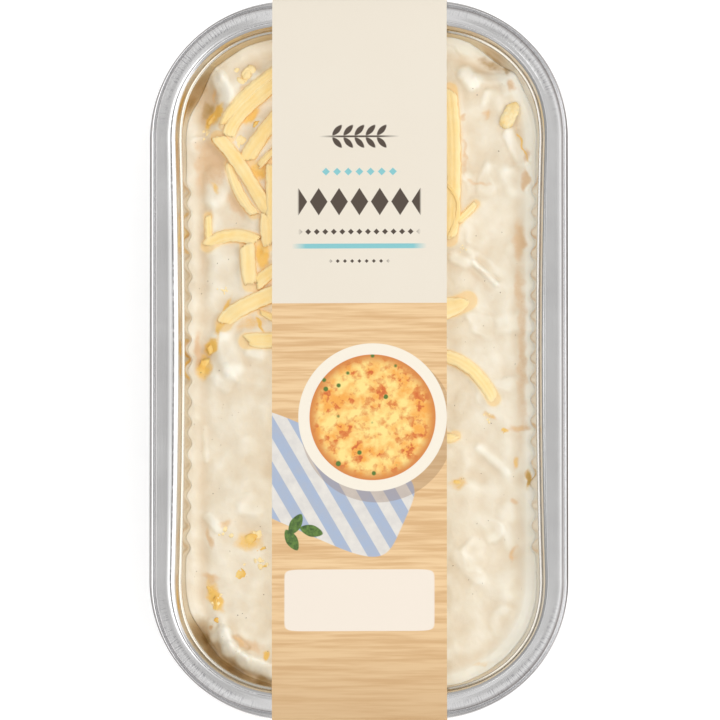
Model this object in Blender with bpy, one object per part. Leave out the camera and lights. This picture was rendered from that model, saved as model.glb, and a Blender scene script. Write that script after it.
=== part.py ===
"""Potato gratin with grated cheese, not yet baked, in a foil tray held by a loop of card.

Lengths are in metres. +Z is up and +Y runs along the tray. The origin is in the middle of the
card's underside, which the whole thing stands on. Heights inside the tray are counted from the
top of its flange, so they are below zero.
"""

import math
import random

import bmesh
import bpy
from mathutils import Vector, noise
from mathutils.geometry import delaunay_2d_cdt

MM = 0.001

# Clearances
GAP = 0.3 * MM

# Tray: outer outline, depth and foil
TRAY_WIDTH = 128.3 * MM
TRAY_LENGTH = 220.0 * MM
TRAY_DEPTH = 34.5 * MM
CORNER_RADIUS = 42.8 * MM
FOIL = 0.4 * MM

# Rim: rolled bead, drooping flange, inner drop (inset past the crest, height) and ledge
BEAD_RADIUS = 0.8 * MM
BEAD_CENTRE = -1.4 * MM
FLANGE_CREST = 7.2 * MM
FLANGE_MIDDLE = 5.0 * MM
FLANGE_OUTER = 3.4 * MM
FLANGE_DROOP = 0.8 * MM
GROOVE_INSET = 1.6 * MM
LEDGE_INSET = 10.7 * MM
LEDGE_HEIGHT = -3.1 * MM
LEDGE_WIDTH = 0.8 * MM
LEDGE_RISE = 0.3 * MM
DROP_BEGIN = (0.9 * MM, -0.25 * MM)
DROP_SHOULDER = (1.6 * MM, -1.0 * MM)
UNDER_SHOULDER = (1.2 * MM, -1.15 * MM)

# Wall: its lean, its upright ribs and the rounded edge of the base
WALL_LEAN = math.tan(math.radians(12.0))
RIB_COUNT = 18
RIB_PITCH = 6.4 * MM
RIB_DEPTH = 1.3 * MM
RIB_MIDDLE = -2.5 * MM
RIBS_BEGIN = -5.0 * MM
BASE_ROUND = 3.4 * MM

# Card sleeve, which drops a little over the drooping flange before it folds down
CARD = 0.4 * MM
SLEEVE_WIDTH = 53.2 * MM
SLEEVE_CROWN = 0.45 * MM
SLEEVE_BEND = 11.0 * MM
SLEEVE_DROP = 0.65 * MM
SLEEVE_FOOT = 94.4 * MM
FOLD_RADIUS = 1.15 * MM
FOLD_BEGINS = math.radians(80.0)

# Gratin: its level, its soft waves (height, length) and the shallow valley along the wall
SAUCE_LEVEL = -8.8 * MM
SAUCE_CROWN = 0.7 * MM
CROWN_REACH = 20.0 * MM
SAUCE_WAVES = ((1.3 * MM, 19.0 * MM), (0.8 * MM, 8.0 * MM))
VALLEY_DEPTH = 1.2 * MM
VALLEY_FROM_WALL = 4.2 * MM
VALLEY_REACH = 2.4 * MM
VALLEY_CHANGES = 24.0 * MM
SAUCE_GRID = 4.0 * MM
TOP_LIMIT = -4.8 * MM

# Cheese and potato
SHRED_THICK = 1.8 * MM
SHRED_STEP = 5.5 * MM
SHRED_TIP = 0.7
SHRED_TAPER = 0.8
HEAP_MIDDLE = (-4.0 * MM, 46.0 * MM)
HEAP_REACH = (20.0 * MM, 46.0 * MM)
HEAP_SHREDS = 22
HEAP_HALF_LENGTHS = (6.0 * MM, 12.0 * MM)
HEAP_WIDTHS = (2.2 * MM, 3.6 * MM)
HEAP_LOW_LIFTS = (0.1 * MM, 0.5 * MM)
HEAP_HIGH_LIFTS = (0.8 * MM, 1.6 * MM)
CHUNK_PLACE = (45.7 * MM, 75.3 * MM)
CHUNK_SIZE = (5.2 * MM, 9.4 * MM, 4.0 * MM)
CHUNK_TURN = math.radians(-28.0)
CHUNK_CORNERS = 26

# Heights above the surface that the sleeve lies on
TRAY_FOOT = CARD + GAP
RIM_HEIGHT = TRAY_FOOT + TRAY_DEPTH

# How far the middle of a quarter round keeps from the two straight lines that it joins
QUARTER_ROUND = 1 - math.sqrt(0.5)

# Bumps and hollows of the sauce in mm: x, y, radius, height
RELIEF = (
    (-47.8, 81.9, 5.5, -4.0),
    (-47.0, 75.0, 4.0, -3.0),
    (-41.1, 85.6, 5.5, 2.2),
    (39.9, 91.6, 5.5, -3.6),
    (32.8, 85.6, 4.0, 1.6),
    (42.5, 84.5, 6.0, 1.2),
    (-42.6, -3.5, 6.0, 1.8),
    (-48.1, 2.5, 3.5, -1.6),
    (-43.0, 14.0, 4.5, -1.8),
    (51.3, -36.5, 3.0, -2.4),
    (44.8, -59.0, 5.0, -1.4),
    (30.5, 42.0, 8.0, 0.9),
    (34.0, -22.0, 9.0, 0.9),
    (-33.0, -52.0, 5.0, -1.2),
    (-46.0, -71.0, 5.0, -1.6),
    (-49.2, -82.5, 4.5, -4.6),
    (-45.6, -88.2, 4.5, -5.2),
    (-38.6, -93.6, 4.5, -5.0),
    (-30.2, -97.2, 4.5, -4.2),
    (-42.6, -81.4, 4.0, 2.0),
    (-40.2, -86.6, 4.0, 2.4),
    (-34.8, -91.0, 4.0, 2.4),
    (-28.6, -93.6, 4.0, 2.0),
)

# Shreds that show beside the sleeve in mm: start, middle, end, width, lift at start, lift at end
SHREDS = (
    ((-41.6, 72.8), (-35.0, 81.8), (-21.6, 92.0), 3.4, 0.6, 1.5),
    ((-40.2, 69.2), (-34.6, 78.0), (-20.6, 88.4), 4.2, 0.8, 1.7),
    ((-34.8, 61.6), (-30.6, 68.4), (-23.6, 76.8), 4.8, 0.7, 2.0),
    ((-43.6, 68.8), (-36.8, 60.2), (-27.8, 45.2), 4.2, 1.8, 1.0),
    ((-39.8, 60.6), (-37.4, 52.6), (-32.4, 45.2), 3.0, 0.5, 0.8),
    ((-31.0, 59.8), (-28.6, 62.2), (-25.4, 65.4), 2.2, 0.8, 1.8),
    ((-27.2, 60.0), (-26.9, 50.0), (-27.1, 36.5), 3.8, 1.6, 1.4),
    ((-46.6, 44.8), (-46.4, 41.0), (-46.2, 37.0), 2.3, 0.4, 0.8),
    ((-46.6, 35.8), (-39.8, 38.6), (-31.6, 37.0), 4.0, 0.5, 1.1),
    ((-34.4, 35.8), (-34.2, 30.0), (-33.6, 23.8), 4.6, 1.4, 0.8),
    ((-31.6, 23.8), (-28.8, 26.2), (-25.0, 28.6), 4.2, 0.8, 1.8),
    ((-28.8, 44.6), (-28.6, 40.0), (-28.2, 35.6), 3.8, 1.6, 1.2),
    ((-41.6, 11.8), (-36.6, 16.2), (-23.6, 21.8), 5.0, 0.7, 1.9),
    ((-34.6, 6.3), (-29.0, 6.4), (-24.0, 6.3), 4.8, 0.6, 1.2),
    ((-30.4, 15.0), (-27.6, 13.8), (-25.0, 12.0), 1.8, 0.4, 0.9),
    ((27.2, 83.0), (28.4, 61.0), (27.4, 37.4), 4.6, 1.0, 0.8),
    ((29.8, 42.6), (32.4, 45.0), (35.2, 48.0), 2.4, 0.8, 0.5),
    ((24.6, 16.4), (28.6, 16.8), (32.6, 18.4), 5.8, 1.0, 0.4),
    ((24.4, 1.8), (33.6, -2.4), (40.6, -11.8), 4.0, 0.9, 0.4),
    ((25.0, -22.6), (27.0, -23.6), (29.0, -23.0), 3.0, 0.8, 0.5),
    ((26.4, 53.8), (30.0, 46.6), (27.0, 37.8), 1.4, 1.6, 1.4),
)

CREAM = (0.86, 0.78, 0.62)
PALE_YELLOW = (0.91, 0.76, 0.38)
PLAIN_FOIL = (0.62, 0.62, 0.63)
CREAM_CARD = (0.85, 0.80, 0.70)


def clear_scene():
    """Removes whatever the scene starts with."""
    for thing in list(bpy.data.objects):
        bpy.data.objects.remove(thing)


def finish_of(name, colour, roughness, metallic=0.0):
    """A plain material with one colour."""
    material = bpy.data.materials.new(name)
    material.use_nodes = True
    shader = material.node_tree.nodes["Principled BSDF"]
    shader.inputs["Base Color"].default_value = (*colour, 1.0)
    shader.inputs["Roughness"].default_value = roughness
    shader.inputs["Metallic"].default_value = metallic
    return material


def new_piece(name, mesh, material, height=0.0):
    """Puts a mesh in the scene as one piece, lifted to a height."""
    piece = bpy.data.objects.new(name, mesh)
    bpy.context.scene.collection.objects.link(piece)
    piece.location.z = height
    mesh.materials.append(material)
    return piece


def mesh_of(name, points, faces):
    """A mesh from points and faces, with its faces turned outwards."""
    mesh = bpy.data.meshes.new(name)
    mesh.from_pydata(points, [], faces)
    shape = bmesh.new()
    shape.from_mesh(mesh)
    bmesh.ops.recalc_face_normals(shape, faces=shape.faces)
    shape.to_mesh(mesh)
    shape.free()
    return mesh


def outline(corner_steps, rib_steps):
    """Stations round the tray's outer outline, anticlockwise from the lower end of the right side.

    Each is (distance round, x, y, inward x, inward y, rib), where rib is 0 between the upright
    ribs of the long walls and 1 on the crest of one.
    """
    half_width = TRAY_WIDTH / 2
    side_end = TRAY_LENGTH / 2 - CORNER_RADIUS
    across_end = half_width - CORNER_RADIUS
    quarter = math.pi / 2 * CORNER_RADIUS
    ribs = []
    for step in range(RIB_COUNT * rib_steps + (1 if rib_steps else 0)):
        along = RIB_MIDDLE + (step / rib_steps - RIB_COUNT / 2) * RIB_PITCH
        ribs.append((along, (1 - math.cos(math.tau * step / rib_steps)) / 2))
    found = []
    travelled = 0.0
    for turn in range(4):
        side = 1 if turn == 0 else -1
        if turn in (0, 2):
            for along, rib in ribs if turn == 0 else reversed(ribs):
                place = travelled + side * along + side_end
                found.append((place, side * half_width, along, -side, 0.0, rib))
        travelled += 2 * (side_end if turn in (0, 2) else across_end)
        centre_x = across_end if turn in (0, 3) else -across_end
        centre_y = side_end if turn in (0, 1) else -side_end
        for step in range(corner_steps + 1):
            share = step / corner_steps
            angle = (turn + share) * math.pi / 2
            out_x, out_y = math.cos(angle), math.sin(angle)
            found.append(
                (
                    travelled + share * quarter,
                    centre_x + CORNER_RADIUS * out_x,
                    centre_y + CORNER_RADIUS * out_y,
                    -out_x,
                    -out_y,
                    0.0,
                )
            )
        travelled += quarter
    return found


PLAIN = outline(corner_steps=12, rib_steps=0)
RIBBED = outline(corner_steps=12, rib_steps=4)


def add_ring(points, stations, inset, height, rib_depth=0.0):
    """Adds one ring of points at an inset from the outline. Returns (distance round, index) pairs."""
    ring = []
    for place, x, y, inward_x, inward_y, rib in stations:
        reach = inset + rib * rib_depth
        ring.append((place, len(points)))
        points.append((x + inward_x * reach, y + inward_y * reach, height))
    return ring


def join_rings(faces, first, second):
    """Joins two rings with quads where they have the same stations and with triangles elsewhere."""
    if len(first) == len(second):
        for at in range(len(first)):
            after = (at + 1) % len(first)
            faces.append((first[at][1], second[at][1], second[after][1], first[after][1]))
        return
    here, there = 0, 0
    while here < len(first) or there < len(second):
        next_here = first[here + 1][0] if here + 1 < len(first) else math.inf
        next_there = second[there + 1][0] if there + 1 < len(second) else math.inf
        a = first[here % len(first)][1]
        b = second[there % len(second)][1]
        first_is_done = here >= len(first)
        second_is_done = there >= len(second)
        if second_is_done or (next_here <= next_there and not first_is_done):
            here += 1
            faces.append((a, b, first[here % len(first)][1]))
        else:
            there += 1
            faces.append((a, b, second[there % len(second)][1]))


def wall_inset(height):
    """How far inside the outer outline the plain wall's inner face is at a height."""
    return LEDGE_INSET + (LEDGE_HEIGHT - height) * WALL_LEAN


def flange_height(inset):
    """Top face of the flange, which droops outwards from its crest."""
    return -FLANGE_DROOP * ((FLANGE_CREST - inset) / FLANGE_CREST) ** 2


def tray_profile():
    """The foil's section as (stations, inset, height, rib depth), up the inside and down the outside."""
    floor = -TRAY_DEPTH + FOIL
    ribs_end = floor + 2 * BASE_ROUND
    base_middle = QUARTER_ROUND * BASE_ROUND
    rows = [
        (PLAIN, wall_inset(floor) + BASE_ROUND, floor, 0.0),
        (PLAIN, wall_inset(floor) + base_middle, floor + base_middle, 0.0),
        (RIBBED, wall_inset(floor + BASE_ROUND), floor + BASE_ROUND, 0.0),
        (RIBBED, wall_inset(ribs_end), ribs_end, RIB_DEPTH),
        (RIBBED, wall_inset(RIBS_BEGIN), RIBS_BEGIN, RIB_DEPTH),
        (RIBBED, LEDGE_INSET, LEDGE_HEIGHT, 0.0),
        (PLAIN, LEDGE_INSET - LEDGE_WIDTH, LEDGE_HEIGHT + LEDGE_RISE, 0.0),
    ]
    for past_crest, height in (DROP_SHOULDER, DROP_BEGIN):
        rows.append((PLAIN, FLANGE_CREST + past_crest, height, 0.0))
    for inset in (FLANGE_CREST, FLANGE_MIDDLE, FLANGE_OUTER, GROOVE_INSET + FOIL):
        rows.append((PLAIN, inset, flange_height(inset), 0.0))
    rows.append((PLAIN, GROOVE_INSET, BEAD_CENTRE + FOIL, 0.0))
    for angle in (55, 100, 145, 190, 235, 280, 325):
        across = BEAD_RADIUS * (1 + math.cos(math.radians(angle)))
        up = BEAD_RADIUS * math.sin(math.radians(angle))
        rows.append((PLAIN, across, BEAD_CENTRE + up, 0.0))
    rows.append((PLAIN, GROOVE_INSET + FOIL, BEAD_CENTRE, 0.0))
    for inset in (GROOVE_INSET + 2 * FOIL, FLANGE_MIDDLE, FLANGE_CREST + 0.5 * FOIL):
        rows.append((PLAIN, inset, flange_height(inset) - FOIL, 0.0))
    outside = FOIL * math.sqrt(1 + WALL_LEAN**2)
    ribs_end_outside = ribs_end - 0.5 * FOIL
    ribs_begin_outside = RIBS_BEGIN - 0.5 * FOIL
    under_ledge = LEDGE_HEIGHT + LEDGE_RISE - FOIL
    rows += [
        (PLAIN, FLANGE_CREST + UNDER_SHOULDER[0], UNDER_SHOULDER[1], 0.0),
        (PLAIN, LEDGE_INSET - LEDGE_WIDTH - FOIL, under_ledge, 0.0),
        (RIBBED, LEDGE_INSET - outside, LEDGE_HEIGHT - FOIL, 0.0),
        (RIBBED, wall_inset(ribs_begin_outside) - outside, ribs_begin_outside, RIB_DEPTH),
        (RIBBED, wall_inset(ribs_end_outside) - outside, ribs_end_outside, RIB_DEPTH),
        (RIBBED, wall_inset(floor + BASE_ROUND) - outside, floor + BASE_ROUND, 0.0),
        (PLAIN, wall_inset(floor) + base_middle - FOIL, floor + base_middle - FOIL, 0.0),
        (PLAIN, wall_inset(floor) + BASE_ROUND, -TRAY_DEPTH, 0.0),
    ]
    return rows


def make_tray():
    """The foil tray: one skin swept round the outline, closed by the two faces of its base."""
    points, faces = [], []
    rings = [add_ring(points, *row) for row in tray_profile()]
    for first, second in zip(rings, rings[1:]):
        join_rings(faces, first, second)
    faces.append([index for _, index in rings[0]])
    faces.append([index for _, index in reversed(rings[-1])])
    mesh = mesh_of("foil_tray", points, faces)
    mesh.shade_smooth()
    mesh.set_sharp_from_angle(angle=math.radians(35))
    return new_piece("foil_tray", mesh, finish_of("foil", PLAIN_FOIL, 0.3, 1.0), RIM_HEIGHT)


def inset_of(x, y):
    """How far a place lies inside the tray's outer outline."""
    over_x = abs(x) - (TRAY_WIDTH / 2 - CORNER_RADIUS)
    over_y = abs(y) - (TRAY_LENGTH / 2 - CORNER_RADIUS)
    corner = math.hypot(max(over_x, 0.0), max(over_y, 0.0))
    return CORNER_RADIUS - corner - min(max(over_x, over_y), 0.0)


def sauce_height(x, y):
    """Height of the sauce: a low crown, soft folds, named bumps and hollows, and its edge at the wall."""
    from_wall = max(0.0, inset_of(x, y) - wall_inset(SAUCE_LEVEL))
    height = SAUCE_LEVEL + SAUCE_CROWN * min(1.0, from_wall / CROWN_REACH)
    for layer, (rise, length) in enumerate(SAUCE_WAVES):
        height += rise * noise.noise(Vector((x, y, 0.05 * layer)) / length)
    for middle_x, middle_y, radius, rise in RELIEF:
        far = math.hypot(x / MM - middle_x, y / MM - middle_y) / radius
        height += rise * MM * math.exp(-far * far)
    depth = VALLEY_DEPTH * (0.7 + 0.6 * noise.noise(Vector((x, y, 0.1)) / VALLEY_CHANGES))
    height -= depth * math.exp(-(((from_wall - VALLEY_FROM_WALL) / VALLEY_REACH) ** 2))
    return min(height, TOP_LIMIT - SHRED_THICK)


def sauce_edge():
    """The sauce's upper edge against the wall, as points that keep clear of the foil."""
    edge = []
    for _, x, y, inward_x, inward_y, rib in RIBBED:
        near = wall_inset(SAUCE_LEVEL) + GAP
        height = sauce_height(x + inward_x * near, y + inward_y * near)
        reach = wall_inset(height) + GAP / math.cos(math.atan(WALL_LEAN)) + rib * RIB_DEPTH
        edge.append((x + inward_x * reach, y + inward_y * reach, height))
    return edge


def sauce_places():
    """Places inside the edge, in a staggered grid."""
    places = []
    row_gap = SAUCE_GRID * math.sqrt(3) / 2
    rows = int(TRAY_LENGTH / 2 / row_gap)
    columns = int(TRAY_WIDTH / 2 / SAUCE_GRID) + 1
    keep_inside = wall_inset(SAUCE_LEVEL) + RIB_DEPTH + 0.55 * SAUCE_GRID
    for row in range(-rows, rows + 1):
        for column in range(-columns, columns + 1):
            x = (column + 0.5 * (row % 2)) * SAUCE_GRID
            y = row * row_gap
            if inset_of(x, y) > keep_inside:
                places.append((x, y))
    return places


def make_sauce_body():
    """The gratin without its cheese: surface, sides that fit the ribbed wall, and flat bottom."""
    edge = sauce_edge()
    count = len(edge)
    flat = [Vector(point[:2]) for point in edge]
    flat += [Vector(place) for place in sauce_places()]
    border = [(at, (at + 1) % count) for at in range(count)]
    laid, _, triangles, sources, _, _ = delaunay_2d_cdt(flat, border, [], 1, 0.01 * MM)
    points = list(edge)
    index_of = {}
    for at, place in enumerate(laid):
        source = sources[at][0]
        if source < count:
            index_of[at] = source
        else:
            index_of[at] = len(points)
            points.append((place.x, place.y, sauce_height(place.x, place.y)))
    faces = [tuple(index_of[at] for at in triangle) for triangle in triangles]
    top_ring = [(RIBBED[at][0], at) for at in range(count)]
    floor = -TRAY_DEPTH + FOIL
    ribs_end = floor + 2 * BASE_ROUND
    clear = GAP / math.cos(math.atan(WALL_LEAN))
    lower = add_ring(points, RIBBED, wall_inset(ribs_end) + clear, ribs_end, RIB_DEPTH)
    waist = add_ring(
        points, RIBBED, wall_inset(floor + BASE_ROUND) + 1.5 * clear, floor + BASE_ROUND
    )
    foot = add_ring(points, PLAIN, wall_inset(floor) + BASE_ROUND, floor + GAP)
    for first, second in ((foot, waist), (waist, lower), (lower, top_ring)):
        join_rings(faces, first, second)
    faces.append([index for _, index in reversed(foot)])
    return mesh_of("gratin", points, faces)


def shred_mesh(start, middle, end, width, lift_start, lift_end):
    """One flat strip of cheese along a bent route that follows the sauce, in metres."""
    control = [2 * m - (s + e) / 2 for s, m, e in zip(start, middle, end)]
    reach = math.dist(start, middle) + math.dist(middle, end)
    steps = max(2, round(reach / SHRED_STEP))
    points, faces = [], []
    for step in range(steps + 1):
        t = step / steps
        x, y = (
            (1 - t) ** 2 * s + 2 * t * (1 - t) * c + t * t * e
            for s, c, e in zip(start, control, end)
        )
        run_x, run_y = (
            2 * (1 - t) * (c - s) + 2 * t * (e - c) for s, c, e in zip(start, control, end)
        )
        pace = math.hypot(run_x, run_y)
        half = width / 2 * (SHRED_TIP if step in (0, steps) else 1.0)
        side_x, side_y = -run_y / pace * half, run_x / pace * half
        lift = lift_start + (lift_end - lift_start) * t
        middle_height = sauce_height(x, y) + lift
        top = min(middle_height + SHRED_THICK / 2, TOP_LIMIT)
        bottom = middle_height - SHRED_THICK / 2
        points += [
            (x - side_x, y - side_y, bottom),
            (x + side_x, y + side_y, bottom),
            (x + side_x * SHRED_TAPER, y + side_y * SHRED_TAPER, top),
            (x - side_x * SHRED_TAPER, y - side_y * SHRED_TAPER, top),
        ]
        if step:
            base = 4 * step
            for corner in range(4):
                after = (corner + 1) % 4
                faces.append((base - 4 + corner, base - 4 + after, base + after, base + corner))
    faces.append((0, 1, 2, 3))
    last = 4 * steps
    faces.append((last + 3, last + 2, last + 1, last))
    return mesh_of("shred", points, faces)


def heap_routes():
    """Routes of the shreds that the sleeve covers, scattered by a seeded rule."""
    dice = random.Random(41)
    routes = []
    while len(routes) < HEAP_SHREDS:
        turn = dice.uniform(0, math.tau)
        far = math.sqrt(dice.random())
        x = HEAP_MIDDLE[0] + HEAP_REACH[0] * far * math.cos(turn)
        y = HEAP_MIDDLE[1] + HEAP_REACH[1] * far * math.sin(turn)
        heading = dice.uniform(0, math.pi)
        half = dice.uniform(*HEAP_HALF_LENGTHS)
        bend = dice.uniform(-0.25, 0.25) * half
        along = (math.cos(heading) * half, math.sin(heading) * half)
        start = (x - along[0], y - along[1])
        end = (x + along[0], y + along[1])
        middle = (x - along[1] / half * bend, y + along[0] / half * bend)
        width = dice.uniform(*HEAP_WIDTHS)
        lifts = (dice.uniform(*HEAP_LOW_LIFTS), dice.uniform(*HEAP_HIGH_LIFTS))
        if max(abs(start[0]), abs(end[0])) < SLEEVE_WIDTH / 2:
            routes.append((start, middle, end, width, *lifts))
    return routes


def all_routes():
    """Every shred's route in metres, the ones in the open first."""
    routes = []
    for start, middle, end, *sizes in SHREDS:
        ends = [(place[0] * MM, place[1] * MM) for place in (start, middle, end)]
        routes.append((*ends, *(size * MM for size in sizes)))
    return routes + heap_routes()


def chunk_mesh(spare):
    """An angular piece of potato, grown outwards by a spare distance."""
    dice = random.Random(7)
    height = sauce_height(*CHUNK_PLACE) + 0.3 * CHUNK_SIZE[2]
    shape = bmesh.new()
    for _ in range(CHUNK_CORNERS):
        way = Vector((dice.gauss(0, 1), dice.gauss(0, 1), dice.gauss(0, 1))).normalized()
        x, y, z = (way[axis] * (CHUNK_SIZE[axis] / 2 + spare) for axis in range(3))
        turned_x = x * math.cos(CHUNK_TURN) - y * math.sin(CHUNK_TURN)
        turned_y = x * math.sin(CHUNK_TURN) + y * math.cos(CHUNK_TURN)
        shape.verts.new((CHUNK_PLACE[0] + turned_x, CHUNK_PLACE[1] + turned_y, height + z))
    hull = bmesh.ops.convex_hull(shape, input=shape.verts)
    inner = [part for part in hull["geom_interior"] if isinstance(part, bmesh.types.BMVert)]
    bmesh.ops.delete(shape, geom=inner, context="VERTS")
    bmesh.ops.recalc_face_normals(shape, faces=shape.faces)
    mesh = bpy.data.meshes.new("potato_piece")
    shape.to_mesh(mesh)
    shape.free()
    return mesh


def carve(piece, tools, operation):
    """Applies one Boolean of a group of tool objects to a piece and removes the group."""
    group = bpy.data.collections.new(f"{piece.name}_{operation.lower()}")
    bpy.context.scene.collection.children.link(group)
    for number, mesh in enumerate(tools):
        tool = bpy.data.objects.new(f"tool_{number}", mesh)
        tool.location = piece.location
        tool.hide_render = True
        tool.display_type = "WIRE"
        group.objects.link(tool)
    change = piece.modifiers.new(operation.lower(), "BOOLEAN")
    change.operation = operation
    change.operand_type = "COLLECTION"
    change.collection = group
    change.solver = "EXACT"
    bpy.context.view_layer.update()
    seen = bpy.context.evaluated_depsgraph_get()
    mesh = bpy.data.meshes.new_from_object(piece.evaluated_get(seen))
    piece.modifiers.clear()
    piece.data = mesh
    for tool in list(group.objects):
        bpy.data.objects.remove(tool)
    bpy.data.collections.remove(group)


def keep_main_body(piece):
    """Drops loose scraps and sealed hollows, so that one closed body is left."""
    shape = bmesh.new()
    shape.from_mesh(piece.data)
    bmesh.ops.dissolve_degenerate(shape, dist=0.002 * MM, edges=shape.edges)
    unseen = set(shape.verts)
    bodies = []
    while unseen:
        front = [unseen.pop()]
        body = set(front)
        while front:
            for edge in front.pop().link_edges:
                for vertex in edge.verts:
                    if vertex in unseen:
                        unseen.remove(vertex)
                        body.add(vertex)
                        front.append(vertex)
        bodies.append(body)
    bodies.sort(key=len, reverse=True)
    for body in bodies[1:]:
        bmesh.ops.delete(shape, geom=list(body), context="VERTS")
    shape.to_mesh(piece.data)
    shape.free()


def make_gratin():
    """Sauced potato with the cheese shreds fused on and a pocket for the loose potato piece."""
    piece = new_piece("gratin", make_sauce_body(), finish_of("gratin", CREAM, 0.4), RIM_HEIGHT)
    carve(piece, [shred_mesh(*route) for route in all_routes()], "UNION")
    carve(piece, [chunk_mesh(GAP)], "DIFFERENCE")
    keep_main_body(piece)
    piece.data.shade_smooth()
    piece.data.set_sharp_from_angle(angle=math.radians(40))
    return piece


def make_potato_piece():
    """The one piece of potato that lies on top of the sauce."""
    material = finish_of("potato", PALE_YELLOW, 0.5)
    return new_piece("potato_piece", chunk_mesh(0.0), material, RIM_HEIGHT)


def sleeve_line(spare):
    """Right half of the card's section as (y, z) from the top's middle to the bottom's middle.

    spare is how far outside the card's inner face the line runs.
    """
    bead_y = TRAY_LENGTH / 2 - BEAD_RADIUS
    bead_z = RIM_HEIGHT + BEAD_CENTRE
    line = []
    bend_from = bead_y - SLEEVE_BEND
    for y in (0.0, bend_from / 3, 2 * bend_from / 3):
        line.append((y, RIM_HEIGHT + SLEEVE_CROWN + spare))
    for step in range(7):
        share = step / 7
        z = RIM_HEIGHT + SLEEVE_CROWN - SLEEVE_DROP * share**2
        line.append((bend_from + share * SLEEVE_BEND, z + spare))
    reach = FOLD_RADIUS + spare
    slope = math.atan2(bead_y + FOLD_RADIUS - SLEEVE_FOOT, bead_z)
    for step in range(7):
        angle = FOLD_BEGINS - (FOLD_BEGINS + slope) * step / 6
        line.append((bead_y + reach * math.cos(angle), bead_z + reach * math.sin(angle)))
    foot_y = SLEEVE_FOOT - FOLD_RADIUS
    foot_z = CARD + FOLD_RADIUS
    for step in range(5):
        angle = -slope - (math.pi / 2 - slope) * step / 4
        line.append((foot_y + reach * math.cos(angle), foot_z + reach * math.sin(angle)))
    for y in (2 * foot_y / 3, foot_y / 3, 0.0):
        line.append((y, CARD - spare))
    return line


def make_sleeve():
    """The loop of card round the tray's length, with the flat foot that everything stands on."""
    points, faces = [], []
    rings = []
    for spare in (0.0, CARD):
        half = sleeve_line(spare)
        loop = half + [(-y, z) for y, z in reversed(half[1:-1])]
        for side in (-1, 1):
            ring = []
            for y, z in loop:
                ring.append(len(points))
                points.append((side * SLEEVE_WIDTH / 2, y, z))
            rings.append(ring)
    inner_left, inner_right, outer_left, outer_right = rings
    for first, second in (
        (inner_left, inner_right),
        (inner_right, outer_right),
        (outer_right, outer_left),
        (outer_left, inner_left),
    ):
        for at in range(len(first)):
            after = (at + 1) % len(first)
            faces.append((first[at], second[at], second[after], first[after]))
    mesh = mesh_of("sleeve", points, faces)
    mesh.shade_smooth()
    mesh.set_sharp_from_angle(angle=math.radians(35))
    return new_piece("sleeve", mesh, finish_of("card", CREAM_CARD, 0.5))


def main():
    """Makes the four pieces."""
    clear_scene()
    make_tray()
    make_gratin()
    make_potato_piece()
    make_sleeve()


main()
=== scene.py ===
"""Looks of the potato gratin: bright foil tray, cream sauce, grated cheese, potato and printed card.

Lengths are in metres in the frame's own axes: +Z up, +Y along the tray. Heights inside the tray are
counted from the top of its flange, and small tables of places are in millimetres.
"""

import math
import random

import bmesh
import bpy
import numpy as np
from mathutils import Matrix, Vector, noise
from mathutils.geometry import delaunay_2d_cdt


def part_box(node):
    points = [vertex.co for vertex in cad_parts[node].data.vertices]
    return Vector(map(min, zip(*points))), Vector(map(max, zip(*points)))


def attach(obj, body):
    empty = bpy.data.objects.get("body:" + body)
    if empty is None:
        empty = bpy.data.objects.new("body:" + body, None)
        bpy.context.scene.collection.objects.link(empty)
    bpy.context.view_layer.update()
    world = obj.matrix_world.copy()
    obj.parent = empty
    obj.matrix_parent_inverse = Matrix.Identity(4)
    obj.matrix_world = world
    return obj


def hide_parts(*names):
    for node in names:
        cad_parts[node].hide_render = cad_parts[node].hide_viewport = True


MM = 0.001

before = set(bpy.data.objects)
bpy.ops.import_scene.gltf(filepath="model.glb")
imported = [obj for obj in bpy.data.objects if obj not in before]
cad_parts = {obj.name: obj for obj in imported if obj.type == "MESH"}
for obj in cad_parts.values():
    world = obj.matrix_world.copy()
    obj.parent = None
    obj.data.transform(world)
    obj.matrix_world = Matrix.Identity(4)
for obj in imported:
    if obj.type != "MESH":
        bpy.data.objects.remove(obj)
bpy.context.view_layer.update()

# Tray
GAP = 0.3 * MM
TRAY_WIDTH = 128.3 * MM
TRAY_LENGTH = 220.0 * MM
TRAY_DEPTH = 34.5 * MM
CORNER_RADIUS = 42.8 * MM
FOIL = 0.4 * MM
BEAD_RADIUS = 0.8 * MM
BEAD_CENTRE = -1.4 * MM
LEDGE_INSET = 10.7 * MM
LEDGE_HEIGHT = -3.1 * MM
WALL_LEAN = math.tan(math.radians(12.0))
RIB_COUNT = 18
RIB_PITCH = 6.4 * MM
RIB_DEPTH = 1.3 * MM
RIB_MIDDLE = -2.5 * MM
RIBS_BEGIN = -6.2 * MM
BASE_ROUND = 3.4 * MM
WRINKLE = 0.01 * MM

# Card sleeve
CARD = 0.4 * MM
SLEEVE_WIDTH = 53.2 * MM
SLEEVE_CROWN = 0.45 * MM
SLEEVE_BEND = 11.0 * MM
SLEEVE_DROP = 0.65 * MM
SLEEVE_FOOT = 94.4 * MM
FOLD_RADIUS = 1.15 * MM
FOLD_BEGINS = math.radians(80.0)

# Gratin
SAUCE_LEVEL = -8.8 * MM
SAUCE_CROWN = 0.7 * MM
CROWN_REACH = 20.0 * MM
SAUCE_WAVES = ((1.3 * MM, 19.0 * MM), (0.8 * MM, 8.0 * MM))
FINE_WAVES = ((0.22 * MM, 3.6 * MM), (0.07 * MM, 1.5 * MM))
VALLEY_DEPTH = 1.2 * MM
VALLEY_FROM_WALL = 4.2 * MM
VALLEY_REACH = 2.4 * MM
VALLEY_CHANGES = 24.0 * MM
TOP_LIMIT = -4.8 * MM
SAUCE_STEP = 0.46 * MM
SAUCE_INSIDE = 41.0 * MM

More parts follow.
